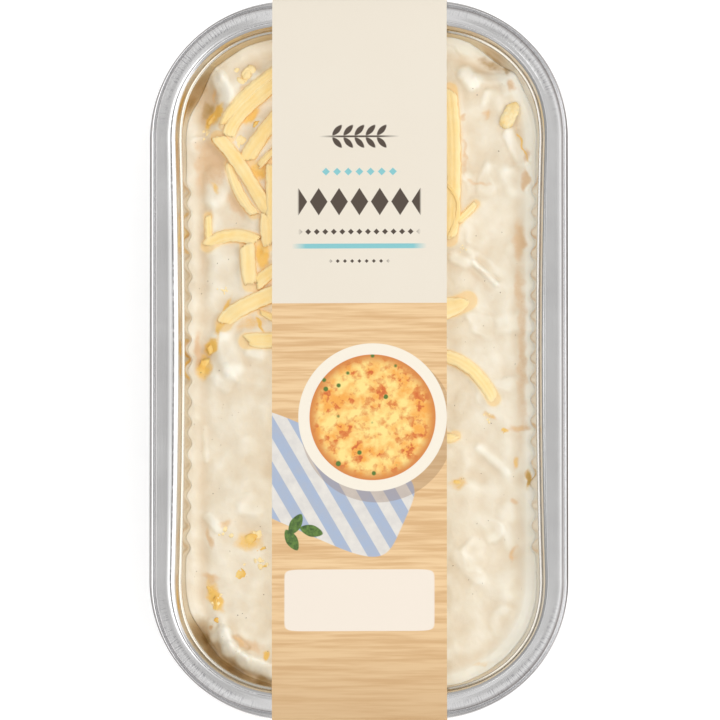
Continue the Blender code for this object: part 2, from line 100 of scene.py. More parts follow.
# Cheese and potato
SHRED_THICK = 1.8 * MM
SHRED_STEP = 5.5 * MM
CHEESE_BEDDED = 0.55 * MM
HEAP_MIDDLE = (-4.0 * MM, 46.0 * MM)
HEAP_REACH = (20.0 * MM, 46.0 * MM)
HEAP_SHREDS = 22
HEAP_HALF_LENGTHS = (6.0 * MM, 12.0 * MM)
HEAP_WIDTHS = (2.2 * MM, 3.6 * MM)
HEAP_LOW_LIFTS = (0.1 * MM, 0.5 * MM)
HEAP_HIGH_LIFTS = (0.8 * MM, 1.6 * MM)

RIM_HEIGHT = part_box("foil_tray")[0].z + TRAY_DEPTH

# Bumps and hollows of the sauce in mm, as the solid has them: x, y, radius, height
RELIEF = (
    (-47.8, 81.9, 5.5, -4.0),
    (-47.0, 75.0, 4.0, -3.0),
    (-41.1, 85.6, 5.5, 2.2),
    (39.9, 91.6, 5.5, -3.6),
    (32.8, 85.6, 4.0, 1.6),
    (42.5, 84.5, 6.0, 1.2),
    (-42.6, -3.5, 6.0, 1.8),
    (-48.1, 2.5, 3.5, -1.6),
    (-43.0, 14.0, 4.5, -1.8),
    (51.3, -36.5, 3.0, -2.4),
    (44.8, -59.0, 5.0, -1.4),
    (30.5, 42.0, 8.0, 0.9),
    (34.0, -22.0, 9.0, 0.9),
    (-33.0, -52.0, 5.0, -1.2),
    (-46.0, -71.0, 5.0, -1.6),
    (-49.2, -82.5, 4.5, -4.6),
    (-45.6, -88.2, 4.5, -5.2),
    (-38.6, -93.6, 4.5, -5.0),
    (-30.2, -97.2, 4.5, -4.2),
    (-42.6, -81.4, 4.0, 2.0),
    (-40.2, -86.6, 4.0, 2.4),
    (-34.8, -91.0, 4.0, 2.4),
    (-28.6, -93.6, 4.0, 2.0),
)

# Rolls and creases of the sauce in mm: from, to, radius, height, steepness of the sides
FOLDS = (
    ((-43.0, 86.6), (-41.0, 82.0), 2.7, 1.1, 5),
    ((-42.9, 89.2), (-42.5, 87.2), 1.1, 0.7, 3),
    ((-43.4, 80.6), (-42.2, 72.4), 0.8, 0.5, 3),
    ((32.2, 88.0), (34.4, 85.2), 2.7, 1.0, 5),
    ((36.4, 87.0), (45.2, 86.4), 1.9, 0.9, 4),
    ((38.4, 82.4), (37.6, 78.8), 1.1, 0.4, 3),
    ((45.6, 69.4), (49.4, 61.4), 2.3, 0.8, 6),
    ((47.4, 70.6), (51.6, 59.8), 0.6, -0.6, 2),
    ((45.6, 57.0), (47.6, 53.2), 3.2, 0.7, 4),
    ((34.6, 30.2), (41.4, 23.6), 0.9, 0.7, 4),
    ((35.4, 31.2), (42.0, 24.8), 0.6, -0.5, 2),
    ((28.6, 31.6), (32.0, 30.0), 1.9, 0.8, 4),
    ((-42.2, 6.2), (-38.6, -1.8), 3.4, 0.9, 4),
    ((-39.0, -3.0), (-31.0, -5.0), 3.0, 0.5, 4),
    ((-45.4, -79.6), (-45.0, -84.8), 1.3, 0.7, 4),
    ((-41.6, -83.0), (-40.0, -88.0), 2.3, 1.4, 6),
    ((-40.0, -88.0), (-35.6, -91.6), 2.3, 1.4, 6),
    ((-35.6, -91.6), (-26.4, -95.0), 2.5, 1.3, 6),
    ((-41.7, -83.6), (-41.2, -84.6), 2.2, 0.5, 3),
    ((-38.4, -88.2), (-36.6, -89.6), 2.4, 0.8, 3),
    ((-32.6, -91.8), (-30.8, -92.8), 2.4, 0.6, 3),
    ((-37.6, -84.2), (-34.4, -87.4), 0.8, -0.8, 3),
    ((-34.6, -82.0), (-29.0, -84.0), 3.2, 0.5, 4),
    ((34.0, -34.6), (36.4, -36.0), 2.2, -0.6, 3),
    ((36.4, -26.6), (44.6, -34.0), 1.5, 0.6, 3),
    ((-44.0, 56.6), (-44.4, 51.0), 3.9, 0.9, 6),
    ((-33.6, 89.0), (-31.2, 86.8), 2.0, 0.6, 5),
    ((-47.6, -20.0), (-47.2, -30.0), 0.8, 0.4, 3),
    ((-46.6, -47.4), (-43.2, -51.0), 1.6, 0.5, 5),
    ((-34.0, 2.6), (-30.4, 2.0), 1.4, 0.4, 4),
    ((44.6, -46.0), (46.4, -56.0), 2.8, 0.5, 5),
    ((30.0, -60.0), (36.0, -66.0), 2.6, 0.5, 5),
)

# Patches in mm where the potato shows through, and where brown shade is painted into hollows and under
# shreds: x, y, radii, turn in degrees, peach, golden, brown
PATCHES = (
    (-49.6, 2.8, 1.5, 7.0, 0, 0.9, 0.2, 0.0),
    (-47.0, 77.6, 1.9, 3.2, -14, 0.4, 0.3, 0.7),
    (-48.6, 83.6, 1.6, 3.0, -30, 0.5, 0.0, 0.4),
    (-44.9, 82.2, 0.5, 2.4, -4, 0.9, 0.4, 0.2),
    (-44.9, 75.4, 5.2, 1.9, 57, 0.3, 1.0, 0.1),
    (-44.6, 53.4, 2.4, 1.3, -60, 0.4, 0.6, 0.0),
    (-48.6, 60.0, 2.2, 9.0, 0, 0.7, 0.0, 0.0),
    (-44.6, 62.0, 5.6, 8.6, 0, 0.95, 0.0, 0.0),
    (-37.4, 48.6, 2.6, 5.0, 24, 0.9, 0.0, 0.0),
    (-45.8, 45.4, 1.0, 1.4, 0, 0.6, 0.0, 0.0),
    (-42.0, 13.6, 7.2, 1.1, 70, 0.3, 1.0, 0.1),
    (-45.3, 4.7, 3.0, 2.1, 64, 0.4, 1.0, 0.0),
    (-47.6, -1.4, 4.4, 2.5, 80, 0.5, 0.8, 0.0),
    (-33.4, 11.8, 6.0, 2.7, 12, 0.6, 0.45, 0.0),
    (-30.4, 12.0, 3.1, 0.7, -66, 0.5, 1.0, 0.35),
    (-33.8, 75.4, 3.4, 2.3, 46, 0.4, 1.0, 0.1),
    # These two paint golden shade where cheese lies deep between the shreds
    (-30.8, 58.4, 3.2, 3.0, 0, 0.3, 1.0, 0.0),
    (-30.0, 33.0, 2.3, 5.6, 0, 0.2, 1.0, 0.0),
    (-35.6, 82.8, 2.2, 1.4, 46, 0.7, 0.3, 0.0),
    (-34.6, 88.4, 3.3, 1.8, 34, 0.2, 0.7, 0.1),
    (-38.0, 44.0, 5.0, 3.0, 0, 0.3, 0.0, 0.0),
    (39.6, 91.2, 5.2, 2.0, -22, 0.5, 0.1, 0.55),
    (44.2, 89.0, 2.0, 0.9, -34, 0.4, 0.1, 0.6),
    (46.3, 84.6, 1.3, 2.0, 20, 0.8, 0.1, 0.2),
    (38.6, 75.8, 1.1, 2.0, -24, 0.8, 0.35, 0.0),
    (49.4, 66.0, 6.2, 0.45, -66, 0.7, 0.9, 0.0),
    (50.9, 63.2, 1.2, 2.4, 0, 0.8, 0.0, 0.0),
    (50.4, 55.0, 1.1, 3.6, 0, 0.95, 0.2, 0.0),
    (48.4, 36.6, 2.0, 6.6, 0, 0.95, 0.1, 0.15),
    (48.6, 22.0, 1.5, 8.6, 0, 0.65, 0.0, 0.0),
    (49.2, 3.0, 1.6, 30.0, 0, 0.6, 0.0, 0.0),
    (31.7, 75.0, 0.8, 1.4, 0, 0.7, 0.2, 0.0),
    (31.6, 63.2, 0.7, 7.0, 0, 0.7, 0.15, 0.0),
    (44.0, -21.6, 1.7, 0.9, 15, 0.6, 0.9, 0.0),
    (48.4, -20.6, 3.2, 1.6, 10, 0.85, 0.35, 0.0),
    (47.6, -31.0, 1.0, 2.4, 0, 0.85, 0.6, 0.0),
    (51.0, -36.2, 0.9, 3.6, 0, 0.2, 0.9, 0.55),
    (35.9, 54.6, 4.4, 0.8, -12, 0.6, 0.3, 0.0),
    (39.6, -17.0, 2.6, 1.0, -20, 0.6, 0.5, 0.0),
    (29.8, -37.4, 3.8, 2.1, 8, 0.5, 0.55, 0.0),
    (37.6, 27.0, 4.2, 0.7, -42, 0.35, 0.0, 0.0),
    (46.6, -43.0, 1.2, 0.8, 30, 0.8, 0.2, 0.0),
    (46.4, -59.0, 2.8, 0.9, 76, 0.8, 0.35, 0.0),
    (-45.8, -65.9, 2.5, 1.5, -38, 1.0, 0.35, 0.1),
    (-44.4, -71.8, 5.6, 2.2, -68, 0.6, 0.9, 0.0),
    (-34.0, -55.0, 4.6, 3.4, 10, 0.4, 0.7, 0.0),
    (-46.0, -53.6, 0.8, 3.4, 10, 0.8, 0.2, 0.0),
    (-41.0, -49.4, 2.6, 1.2, 20, 0.6, 0.35, 0.0),
    (-45.1, -81.0, 0.8, 0.7, 0, 0.95, 0.3, 0.2),
    (-47.4, -84.8, 5.6, 1.9, -52, 0.3, 0.1, 0.6),
    (-41.2, -92.6, 5.8, 2.0, -38, 0.2, 0.1, 0.6),
    (-31.4, -97.2, 7.0, 1.6, -16, 0.2, 0.1, 0.6),
    (-28.5, -90.0, 1.0, 1.7, 10, 0.5, 1.0, 0.2),
    (-32.4, -87.2, 3.6, 1.8, -22, 0.75, 0.2, 0.0),
    (-37.0, -85.4, 2.8, 0.9, -40, 0.9, 0.35, 0.0),
    (36.8, -92.4, 3.4, 1.0, 10, 0.3, 0.4, 0.0),
)

# Shreds that show beside the sleeve in mm: start, middle, end, width, lift at start, lift at end
SHREDS = (
    ((-41.6, 72.8), (-35.0, 81.8), (-21.6, 92.0), 3.4, 0.6, 1.5),
    ((-40.2, 69.2), (-34.6, 78.0), (-20.6, 88.4), 4.2, 0.8, 1.7),
    ((-34.8, 61.6), (-30.6, 68.4), (-23.6, 76.8), 4.8, 0.7, 2.0),
    ((-43.6, 68.8), (-36.8, 60.2), (-27.8, 45.2), 4.2, 1.8, 1.0),
    ((-39.8, 60.6), (-37.4, 52.6), (-32.4, 45.2), 3.0, 0.5, 0.8),
    ((-31.0, 59.8), (-28.6, 62.2), (-25.4, 65.4), 2.2, 0.8, 1.8),
    ((-27.2, 60.0), (-26.9, 50.0), (-27.1, 36.5), 3.8, 1.6, 1.4),
    ((-46.6, 44.8), (-46.4, 41.0), (-46.2, 37.0), 2.3, 0.4, 0.8),
    ((-46.6, 35.8), (-39.8, 38.6), (-31.6, 37.0), 4.0, 0.5, 1.1),
    ((-34.4, 35.8), (-34.2, 30.0), (-33.6, 23.8), 4.6, 1.4, 0.8),
    ((-31.6, 23.8), (-28.8, 26.2), (-25.0, 28.6), 4.2, 0.8, 1.8),
    ((-28.8, 44.6), (-28.6, 40.0), (-28.2, 35.6), 3.8, 1.6, 1.2),
    ((-41.6, 11.8), (-36.6, 16.2), (-23.6, 21.8), 5.0, 0.7, 1.9),
    ((-34.6, 6.3), (-29.0, 6.4), (-24.0, 6.3), 4.8, 0.6, 1.2),
    ((-30.4, 15.0), (-27.6, 13.8), (-25.0, 12.0), 1.8, 0.4, 0.9),
    ((27.2, 83.0), (28.4, 61.0), (27.4, 37.4), 4.6, 1.0, 0.8),
    ((29.8, 42.6), (32.4, 45.0), (35.2, 48.0), 2.4, 0.8, 0.5),
    ((24.6, 16.4), (28.6, 16.8), (32.6, 18.4), 5.8, 1.0, 0.4),
    ((24.4, 1.8), (33.6, -2.4), (40.6, -11.8), 4.0, 0.9, 0.4),
    ((25.0, -22.6), (27.0, -23.6), (29.0, -23.0), 3.0, 0.8, 0.5),
    ((26.4, 53.8), (30.0, 46.6), (27.0, 37.8), 1.4, 1.6, 1.4),
)

# Potato that shows in the sauce in mm: x, y, length, width, height, turn in degrees, lift
POTATO_BITS = (
    (-44.9, 75.2, 9.4, 3.0, 1.8, 57, 0.1),
    (-42.4, 12.0, 9.0, 1.9, 1.6, 70, 0.0),
    (-45.2, 4.6, 5.4, 3.4, 1.8, 64, 0.0),
    (-47.6, -1.4, 8.2, 4.4, 2.6, 80, 0.3),
    (-33.6, 75.2, 6.0, 3.2, 1.8, 46, -0.1),
    (-31.8, 72.8, 3.2, 2.4, 1.6, 20, 0.5),
    (-33.4, -54.4, 6.4, 5.6, 2.6, 40, 0.5),
    (-31.0, -57.0, 4.4, 2.4, 1.6, 10, 0.2),
    (-36.8, -64.8, 4.4, 4.2, 2.0, 12, 0.3),
    (-29.7, -62.2, 3.0, 2.2, 1.4, -20, 0.2),
    (-45.4, -69.6, 5.4, 2.4, 1.8, -62, 0.0),
    (-43.6, -74.4, 6.2, 3.4, 2.0, -80, 0.2),
    (-43.4, -79.0, 3.0, 1.8, 1.4, -30, 0.2),
    (51.0, -36.1, 6.0, 1.4, 1.4, 92, 0.0),
    (44.0, -21.6, 2.8, 1.4, 1.0, 20, 0.0),
    (30.0, -36.8, 5.4, 3.0, 1.6, 8, 0.0),
    (-28.5, -90.0, 2.8, 1.6, 1.2, 80, -0.1),
)


def srgb(red, green, blue):
    """A colour given as it looks on a screen, 0 to 255, as the linear colour that shaders use."""
    linear = []
    for part in (red, green, blue):
        share = part / 255
        linear.append(share / 12.92 if share < 0.04045 else ((share + 0.055) / 1.055) ** 2.4)
    return (*linear, 1.0)


# Shader helpers and the effects that several finishes share


def add_node(tree, kind, inputs=None, **settings):
    """Adds a shader node. Its inputs take values or the outputs of other nodes."""
    node = tree.nodes.new(kind)
    for name, value in settings.items():
        setattr(node, name, value)
    for name, value in (inputs or {}).items():
        if isinstance(value, bpy.types.NodeSocket):
            tree.links.new(value, node.inputs[name])
        else:
            node.inputs[name].default_value = value
    return node


def calc(tree, operation, first, second=0.0, third=0.0, clamp=False):
    """One math step. Returns its result."""
    inputs = {0: first, 1: second, 2: third}
    return add_node(tree, "ShaderNodeMath", inputs, operation=operation, use_clamp=clamp).outputs[0]


def times(tree, first, second, clamp=False):
    """The product of two values."""
    return calc(tree, "MULTIPLY", first, second, clamp=clamp)


def blend_colour(tree, share, first, second):
    """Mixes two colours by a share."""
    inputs = {0: share, 6: first, 7: second}
    mix = add_node(tree, "ShaderNodeMix", inputs, data_type="RGBA", clamp_result=True)
    return mix.outputs[2]


def tinted(tree, colour, mask, strength, tint):
    """A colour with a tint laid over it by a mask, at a strength."""
    return blend_colour(tree, times(tree, mask, strength), colour, tint)


def remap(tree, value, low, high, to_low=0.0, to_high=1.0):
    """Stretches a value from one range to another, softly clamped."""
    inputs = {"Value": value, "From Min": low, "From Max": high, "To Min": to_low, "To Max": to_high}
    return add_node(tree, "ShaderNodeMapRange", inputs, interpolation_type="SMOOTHSTEP").outputs[0]


def stored(tree, name):
    """What the mesh stores at each point under a name, as the parts of a vector."""
    found = add_node(tree, "ShaderNodeAttribute", attribute_name=name)
    return add_node(tree, "ShaderNodeSeparateXYZ", {0: found.outputs["Vector"]}).outputs


def object_place(tree):
    """The point's place in the frame's axes, in metres."""
    return add_node(tree, "ShaderNodeTexCoord").outputs["Object"]


def new_group(name, inputs, outputs):
    """A shader node group with named inputs (name, kind, first value) and outputs (name, kind)."""
    group = bpy.data.node_groups.new(name, "ShaderNodeTree")
    for label, kind, value in inputs:
        socket = group.interface.new_socket(label, in_out="INPUT", socket_type=f"NodeSocket{kind}")
        socket.default_value = value
    for label, kind in outputs:
        group.interface.new_socket(label, in_out="OUTPUT", socket_type=f"NodeSocket{kind}")
    return group, add_node(group, "NodeGroupInput").outputs, add_node(group, "NodeGroupOutput")


def use_group(tree, group, **inputs):
    """Places an effect in a material. Returns its outputs."""
    named = {name.replace("_", " "): value for name, value in inputs.items()}
    return add_node(tree, "ShaderNodeGroup", named, node_tree=group).outputs


def make_mottle():
    """Soft blotches of one size: a mask from 0 to 1 that turns over at its middle."""
    inputs = (("Place", "Vector", (0, 0, 0)), ("Size", "Float", 0.01), ("Contrast", "Float", 1.0))
    group, given, out = new_group("soft_mottle", inputs, (("Mask", "Float"),))
    scale = calc(group, "DIVIDE", 1.0, given["Size"])
    texture = {"Vector": given["Place"], "Scale": scale, "Detail": 3.0, "Roughness": 0.55}
    blotch = add_node(group, "ShaderNodeTexNoise", texture).outputs[0]
    centred = calc(group, "SUBTRACT", blotch, 0.5)
    spread = times(group, given["Contrast"], 2.5)
    mask = calc(group, "MULTIPLY_ADD", centred, spread, 0.5, clamp=True)
    group.links.new(mask, out.inputs["Mask"])
    return group


def make_grain():
    """Fine uneven surface: rounded lumps of one size with finer roughness on them."""
    inputs = (("Place", "Vector", (0, 0, 0)), ("Size", "Float", 0.001), ("Fineness", "Float", 0.4))
    group, given, out = new_group("moist_grain", inputs, (("Height", "Float"),))
    scale = calc(group, "DIVIDE", 1.0, given["Size"])
    lumps = {"Vector": given["Place"], "Scale": scale, "Detail": 2.0}
    broad = add_node(group, "ShaderNodeTexNoise", lumps).outputs[0]
    finer = {"Vector": given["Place"], "Scale": times(group, scale, 4.3), "Detail": 1.0}
    fine = add_node(group, "ShaderNodeTexNoise", finer).outputs[0]
    height = calc(group, "MULTIPLY_ADD", fine, given["Fineness"], broad)
    group.links.new(height, out.inputs["Height"])
    return group


def make_specks():
    """Scattered dots: a mask that is 1 on the few cells whose own number is high enough."""
    inputs = (
        ("Place", "Vector", (0, 0, 0)),
        ("Spacing", "Float", 0.003),
        ("Radius", "Float", 0.12),
        ("Share", "Float", 0.3),
    )
    group, given, out = new_group("scattered_specks", inputs, (("Mask", "Float"),))
    scale = calc(group, "DIVIDE", 1.0, given["Spacing"])
    cells = add_node(group, "ShaderNodeTexVoronoi", {"Vector": given["Place"], "Scale": scale})
    number = add_node(group, "ShaderNodeSeparateColor", {0: cells.outputs["Color"]}).outputs[0]
    chosen = calc(group, "LESS_THAN", number, given["Share"])
    edge = calc(group, "SUBTRACT", given["Radius"], cells.outputs["Distance"])
    dot = times(group, edge, 14.0, clamp=True)
    group.links.new(times(group, dot, chosen), out.inputs["Mask"])
    return group


def make_lines():
    """Long lines across a stored distance: fine irregular ridges that run along the other one."""
    inputs = (
        ("Along", "Float", 0.0),
        ("Across", "Float", 0.0),
        ("Spacing", "Float", 0.001),
        ("Length", "Float", 0.02),
    )
    group, given, out = new_group("long_lines", inputs, (("Height", "Float"),))
    across = calc(group, "DIVIDE", given["Across"], given["Spacing"])
    along = calc(group, "DIVIDE", given["Along"], given["Length"])
    place = add_node(group, "ShaderNodeCombineXYZ", {"X": across, "Y": along}).outputs[0]
    texture = {"Vector": place, "Scale": 1.0, "Detail": 3.0, "Roughness": 0.6}
    height = add_node(group, "ShaderNodeTexNoise", texture).outputs[0]
    group.links.new(height, out.inputs["Height"])
    return group


def make_oval():
    """A field of print: 1 inside a turned oval or rounded box and 0 outside, with a crisp edge."""
    inputs = (
        ("X", "Float", 0.0),
        ("Y", "Float", 0.0),
        ("Middle X", "Float", 0.0),
        ("Middle Y", "Float", 0.0),
        ("Half Width", "Float", 10.0),
        ("Half Height", "Float", 10.0),
        ("Turn", "Float", 0.0),
        ("Squareness", "Float", 2.0),
    )
    group, given, out = new_group("printed_field", inputs, (("Mask", "Float"), ("Reach", "Float")))
    dx = calc(group, "SUBTRACT", given["X"], given["Middle X"])
    dy = calc(group, "SUBTRACT", given["Y"], given["Middle Y"])
    cosine = calc(group, "COSINE", given["Turn"])
    sine = calc(group, "SINE", given["Turn"])
    across = calc(group, "ADD", times(group, dx, cosine), times(group, dy, sine))
    up = calc(group, "SUBTRACT", times(group, dy, cosine), times(group, dx, sine))
    shares = []
    for distance, half in ((across, "Half Width"), (up, "Half Height")):
        share = calc(group, "ABSOLUTE", calc(group, "DIVIDE", distance, given[half]))
        shares.append(calc(group, "POWER", share, given["Squareness"]))
    total = calc(group, "ADD", shares[0], shares[1])
    reach = calc(group, "POWER", total, calc(group, "DIVIDE", 1.0, given["Squareness"]))
    smaller = calc(group, "MINIMUM", given["Half Width"], given["Half Height"])
    edge = times(group, calc(group, "SUBTRACT", 1.0, reach), smaller)
    mask = calc(group, "MULTIPLY_ADD", edge, 6.0, 0.5, clamp=True)
    group.links.new(mask, out.inputs["Mask"])
    group.links.new(reach, out.inputs["Reach"])
    return group


MOTTLE = make_mottle()
GRAIN = make_grain()
SPECKS = make_specks()
LINES = make_lines()
OVAL = make_oval()


def new_finish(name):
    """A material with a Principled shader. Returns the material, its tree and the shader."""
    material = bpy.data.materials.new(name)
    material.use_nodes = True
    tree = material.node_tree
    return material, tree, tree.nodes["Principled BSDF"]


def add_bump(tree, shader, height, depth, strength=1.0):
    """Feeds a height into the shader's normal. depth is the height's full swing in metres."""
    inputs = {"Height": height, "Distance": depth, "Strength": strength}
    bump = add_node(tree, "ShaderNodeBump", inputs)
    tree.links.new(bump.outputs[0], shader.inputs["Normal"])


def set_surface(tree, shader, colour, uneven, swing, least):
    """Gives the shader its colour, and a roughness that rises from its least with a mask."""
    tree.links.new(colour, shader.inputs["Base Color"])
    rough = calc(tree, "MULTIPLY_ADD", uneven, swing, least)
    tree.links.new(rough, shader.inputs["Roughness"])


def foil_finish():
    """Bright rolled foil: fine drawn lines round the rim, crinkles in the corners, faint dents, painted
    shade in its folds and a painted reflection of the gratin inside.
    """
    material, tree, shader = new_finish("rolled_foil")
    around, inset, corner = stored(tree, "rim_place")
    # Painted shade of the folds and crease, and the gratin's painted reflection, stored round the rim
    fold, dotted, gratin_reflection = stored(tree, "rim_painted_light")
    place = object_place(tree)
    drawn = use_group(tree, LINES, Along=around, Across=inset, Spacing=0.35 * MM, Length=30 * MM)[0]
    pleats = use_group(tree, LINES, Along=inset, Across=around, Spacing=0.42 * MM, Length=3 * MM)[0]
    smudge = use_group(tree, MOTTLE, Place=place, Size=14 * MM, Contrast=0.8)[0]
    creased = times(tree, pleats, corner)
    height = calc(tree, "MULTIPLY_ADD", creased, 0.9, times(tree, drawn, 0.2))
    add_bump(tree, shader, height, 0.05 * MM, 0.5)
    tint = blend_colour(tree, smudge, srgb(226, 226, 227), srgb(232, 232, 233))
    turned = stored(tree, "rim_turn")[0]
    # Painted reflection of the gratin on the drop inside the flange, deeper tan at the ends
    drop_reflection = times(tree, remap(tree, inset, 8.4 * MM, 9.5 * MM), gratin_reflection)
    slope = blend_colour(tree, turned, srgb(234, 223, 207), srgb(222, 208, 186))
    tint = blend_colour(tree, drop_reflection, tint, slope)
    # Painted shade over the ledge, deepest on the left and at the ends
    inner = remap(tree, inset, 9.8 * MM, 10.1 * MM)
    ledge = times(tree, inner, remap(tree, inset, 10.9 * MM, 10.6 * MM))
    cool = times(tree, turned, remap(tree, gratin_reflection, 0.0, 1.0, 1.0, 0.0))
    ledge_shade = calc(tree, "MULTIPLY_ADD", cool, 0.55, remap(tree, gratin_reflection, 0.0, 1.0, 0.4, 1.0))
    tint = tinted(tree, tint, ledge, ledge_shade, srgb(196, 190, 178))
    # Painted reflection of the gratin on the wall below the ledge, deeper tan at the ends
    below = times(tree, remap(tree, inset, 10.6 * MM, 11.2 * MM), gratin_reflection)
    wall = blend_colour(tree, turned, srgb(222, 211, 194), srgb(208, 188, 152))
    tint = blend_colour(tree, below, tint, wall)
    # Painted shade in the fine pleats of the crinkled corners, on the outer flange
    outer = remap(tree, inset, 4.6 * MM, 4.0 * MM)
    pleat_shade = times(tree, remap(tree, pleats, 0.52, 0.6), times(tree, corner, outer))
    tint = tinted(tree, tint, pleat_shade, 0.6, srgb(168, 168, 174))
    # Painted shade in the folds, grooves and bead, across the left flange and on the outer wall, and
    # dotted along the crease
    dots = times(tree, remap(tree, pleats, 0.36, 0.48), dotted)
    tint = blend_colour(tree, calc(tree, "MAXIMUM", fold, dots), tint, srgb(94, 84, 80))
    smudged = calc(tree, "MULTIPLY_ADD", smudge, 0.04, 0.13)
    set_surface(tree, shader, tint, drawn, 0.06, smudged)
    shader.inputs["Metallic"].default_value = 1.0
    return material


def sauce_finish():
    """Thick cream sauce: milky, moist, mottled, warmer where potato shows through, with pepper, painted
    shade in its hollows and painted light on its crests and beside the cheese.
    """
    material, tree, shader = new_finish("cream_sauce")
    place = object_place(tree)
    peach, golden, brown = stored(tree, "show_through")
    hollow_shade, crest_highlight, cheese_glow = stored(tree, "sauce_light_and_shade")
    broad = use_group(tree, MOTTLE, Place=place, Size=17 * MM, Contrast=0.9)[0]
    small = use_group(tree, MOTTLE, Place=place, Size=3.2 * MM, Contrast=1.0)[0]
    colour = blend_colour(tree, broad, srgb(237, 226, 204), srgb(229, 214, 187))
    colour = tinted(tree, colour, small, 0.4, srgb(241, 233, 215))
    # Painted shade in the hollows, and a painted highlight on the crests and on the sauce film by the
    # right wall
    colour = tinted(tree, colour, hollow_shade, 0.75, srgb(214, 187, 150))
    colour = tinted(tree, colour, crest_highlight, 0.95, srgb(251, 245, 230))
    ragged = use_group(tree, GRAIN, Place=place, Size=1.1 * MM, Fineness=0.7)[0]
    frayed = calc(tree, "MULTIPLY_ADD", ragged, 0.6, 0.54)
    # Peach and golden potato showing through; the brown is painted shade in hollows and under shreds
    for amount, low, high, tint in (
        (peach, 0.06, 0.95, srgb(226, 194, 154)),
        (golden, 0.18, 0.90, srgb(241, 196, 100)),
        (brown, 0.15, 0.85, srgb(184, 150, 90)),
    ):
        mask = remap(tree, times(tree, amount, frayed), low, high)
        colour = blend_colour(tree, mask, colour, tint)
    # Painted golden light that the cheese throws on the sauce beside it, and painted golden shade where
    # they touch
    colour = tinted(tree, colour, cheese_glow, 0.42, srgb(248, 216, 146))
    cheese_contact_shade = remap(tree, cheese_glow, 0.7, 1.0)
    colour = tinted(tree, colour, cheese_contact_shade, 0.35, srgb(252, 205, 122))
    grit = use_group(tree, SPECKS, Place=place, Spacing=4.4 * MM, Radius=0.055, Share=0.22)[0]
    colour = tinted(tree, colour, grit, 0.6, srgb(176, 124, 70))
    set_surface(tree, shader, colour, small, 0.16, 0.36)
    grain = use_group(tree, GRAIN, Place=place, Size=2.2 * MM, Fineness=0.5)[0]
    add_bump(tree, shader, grain, 0.2 * MM, 0.5)
    shader.inputs["Subsurface Weight"].default_value = 0.25
    shader.inputs["Subsurface Radius"].default_value = (1.0, 0.85, 0.65)
    shader.inputs["Subsurface Scale"].default_value = 0.5 * MM
    return material


def cheese_finish():
    """Grated cheese: waxy pale yellow, with a painted highlight on its cut edges and ends, painted golden
    shade in its grooves and on its sides, and fine lines along each shred.
    """
    material, tree, shader = new_finish("grated_cheese")
    along, across, tone = stored(tree, "shred_place")
    edge, groove_shade, side = stored(tree, "shred_light_and_shade")
    place = object_place(tree)
    patch = use_group(tree, MOTTLE, Place=place, Size=4.5 * MM, Contrast=1.1)[0]
    colour = blend_colour(tree, patch, srgb(255, 232, 172), srgb(254, 220, 144))
    colour = tinted(tree, colour, tone, 0.4, srgb(255, 238, 192))
    # Painted golden shade in the grooves between the ridges
    colour = tinted(tree, colour, groove_shade, 0.25, srgb(250, 210, 122))
    lines = use_group(tree, LINES, Along=along, Across=across, Spacing=0.9 * MM, Length=9 * MM)[0]
    pale = times(tree, remap(tree, lines, 0.5, 0.75), 0.35)
    # A painted highlight on the cut edges and ends
    pale = calc(tree, "MAXIMUM", pale, times(tree, edge, 0.25))
    colour = blend_colour(tree, pale, colour, srgb(255, 245, 214))
    # Painted golden shade on the sides and underside
    colour = tinted(tree, colour, side, 0.95, srgb(255, 199, 98))
    set_surface(tree, shader, colour, patch, 0.12, 0.42)
    crumb = use_group(tree, GRAIN, Place=place, Size=0.9 * MM, Fineness=0.6)[0]
    height = calc(tree, "MULTIPLY_ADD", crumb, 0.5, times(tree, lines, 0.4))
    add_bump(tree, shader, height, 0.12 * MM, 0.4)
    shader.inputs["Specular IOR Level"].default_value = 0.25
    return material


def potato_finish(name, light, deep):
    """Boiled potato: grainy, moist, mottled between a light and a deeper colour."""
    material, tree, shader = new_finish(name)
    place = object_place(tree)
    patch = use_group(tree, MOTTLE, Place=place, Size=2.4 * MM, Contrast=1.2)[0]
    colour = blend_colour(tree, patch, light, deep)
    dots = use_group(tree, SPECKS, Place=place, Spacing=1.5 * MM, Radius=0.2, Share=0.2)[0]
    colour = tinted(tree, colour, dots, 0.5, srgb(252, 226, 160))
    set_surface(tree, shader, colour, patch, 0.15, 0.38)
    crumb = use_group(tree, GRAIN, Place=place, Size=0.8 * MM, Fineness=0.8)[0]
    add_bump(tree, shader, crumb, 0.2 * MM, 0.6)
    shader.inputs["Subsurface Weight"].default_value = 0.08
    shader.inputs["Subsurface Radius"].default_value = (1.0, 0.8, 0.5)
    shader.inputs["Subsurface Scale"].default_value = 0.5 * MM
    return material


def pepper_finish():
    """Ground pepper: brown to dark grey-brown flakes."""
    material, tree, shader = new_finish("ground_pepper")
    place = object_place(tree)
    patch = use_group(tree, MOTTLE, Place=place, Size=0.9 * MM, Contrast=1.4)[0]
    colour = blend_colour(tree, patch, srgb(150, 116, 78), srgb(112, 92, 70))
    tree.links.new(colour, shader.inputs["Base Color"])
    grain = use_group(tree, GRAIN, Place=place, Size=0.2 * MM, Fineness=0.6)[0]
    add_bump(tree, shader, grain, 0.05 * MM, 0.6)
    shader.inputs["Roughness"].default_value = 0.6
    return material


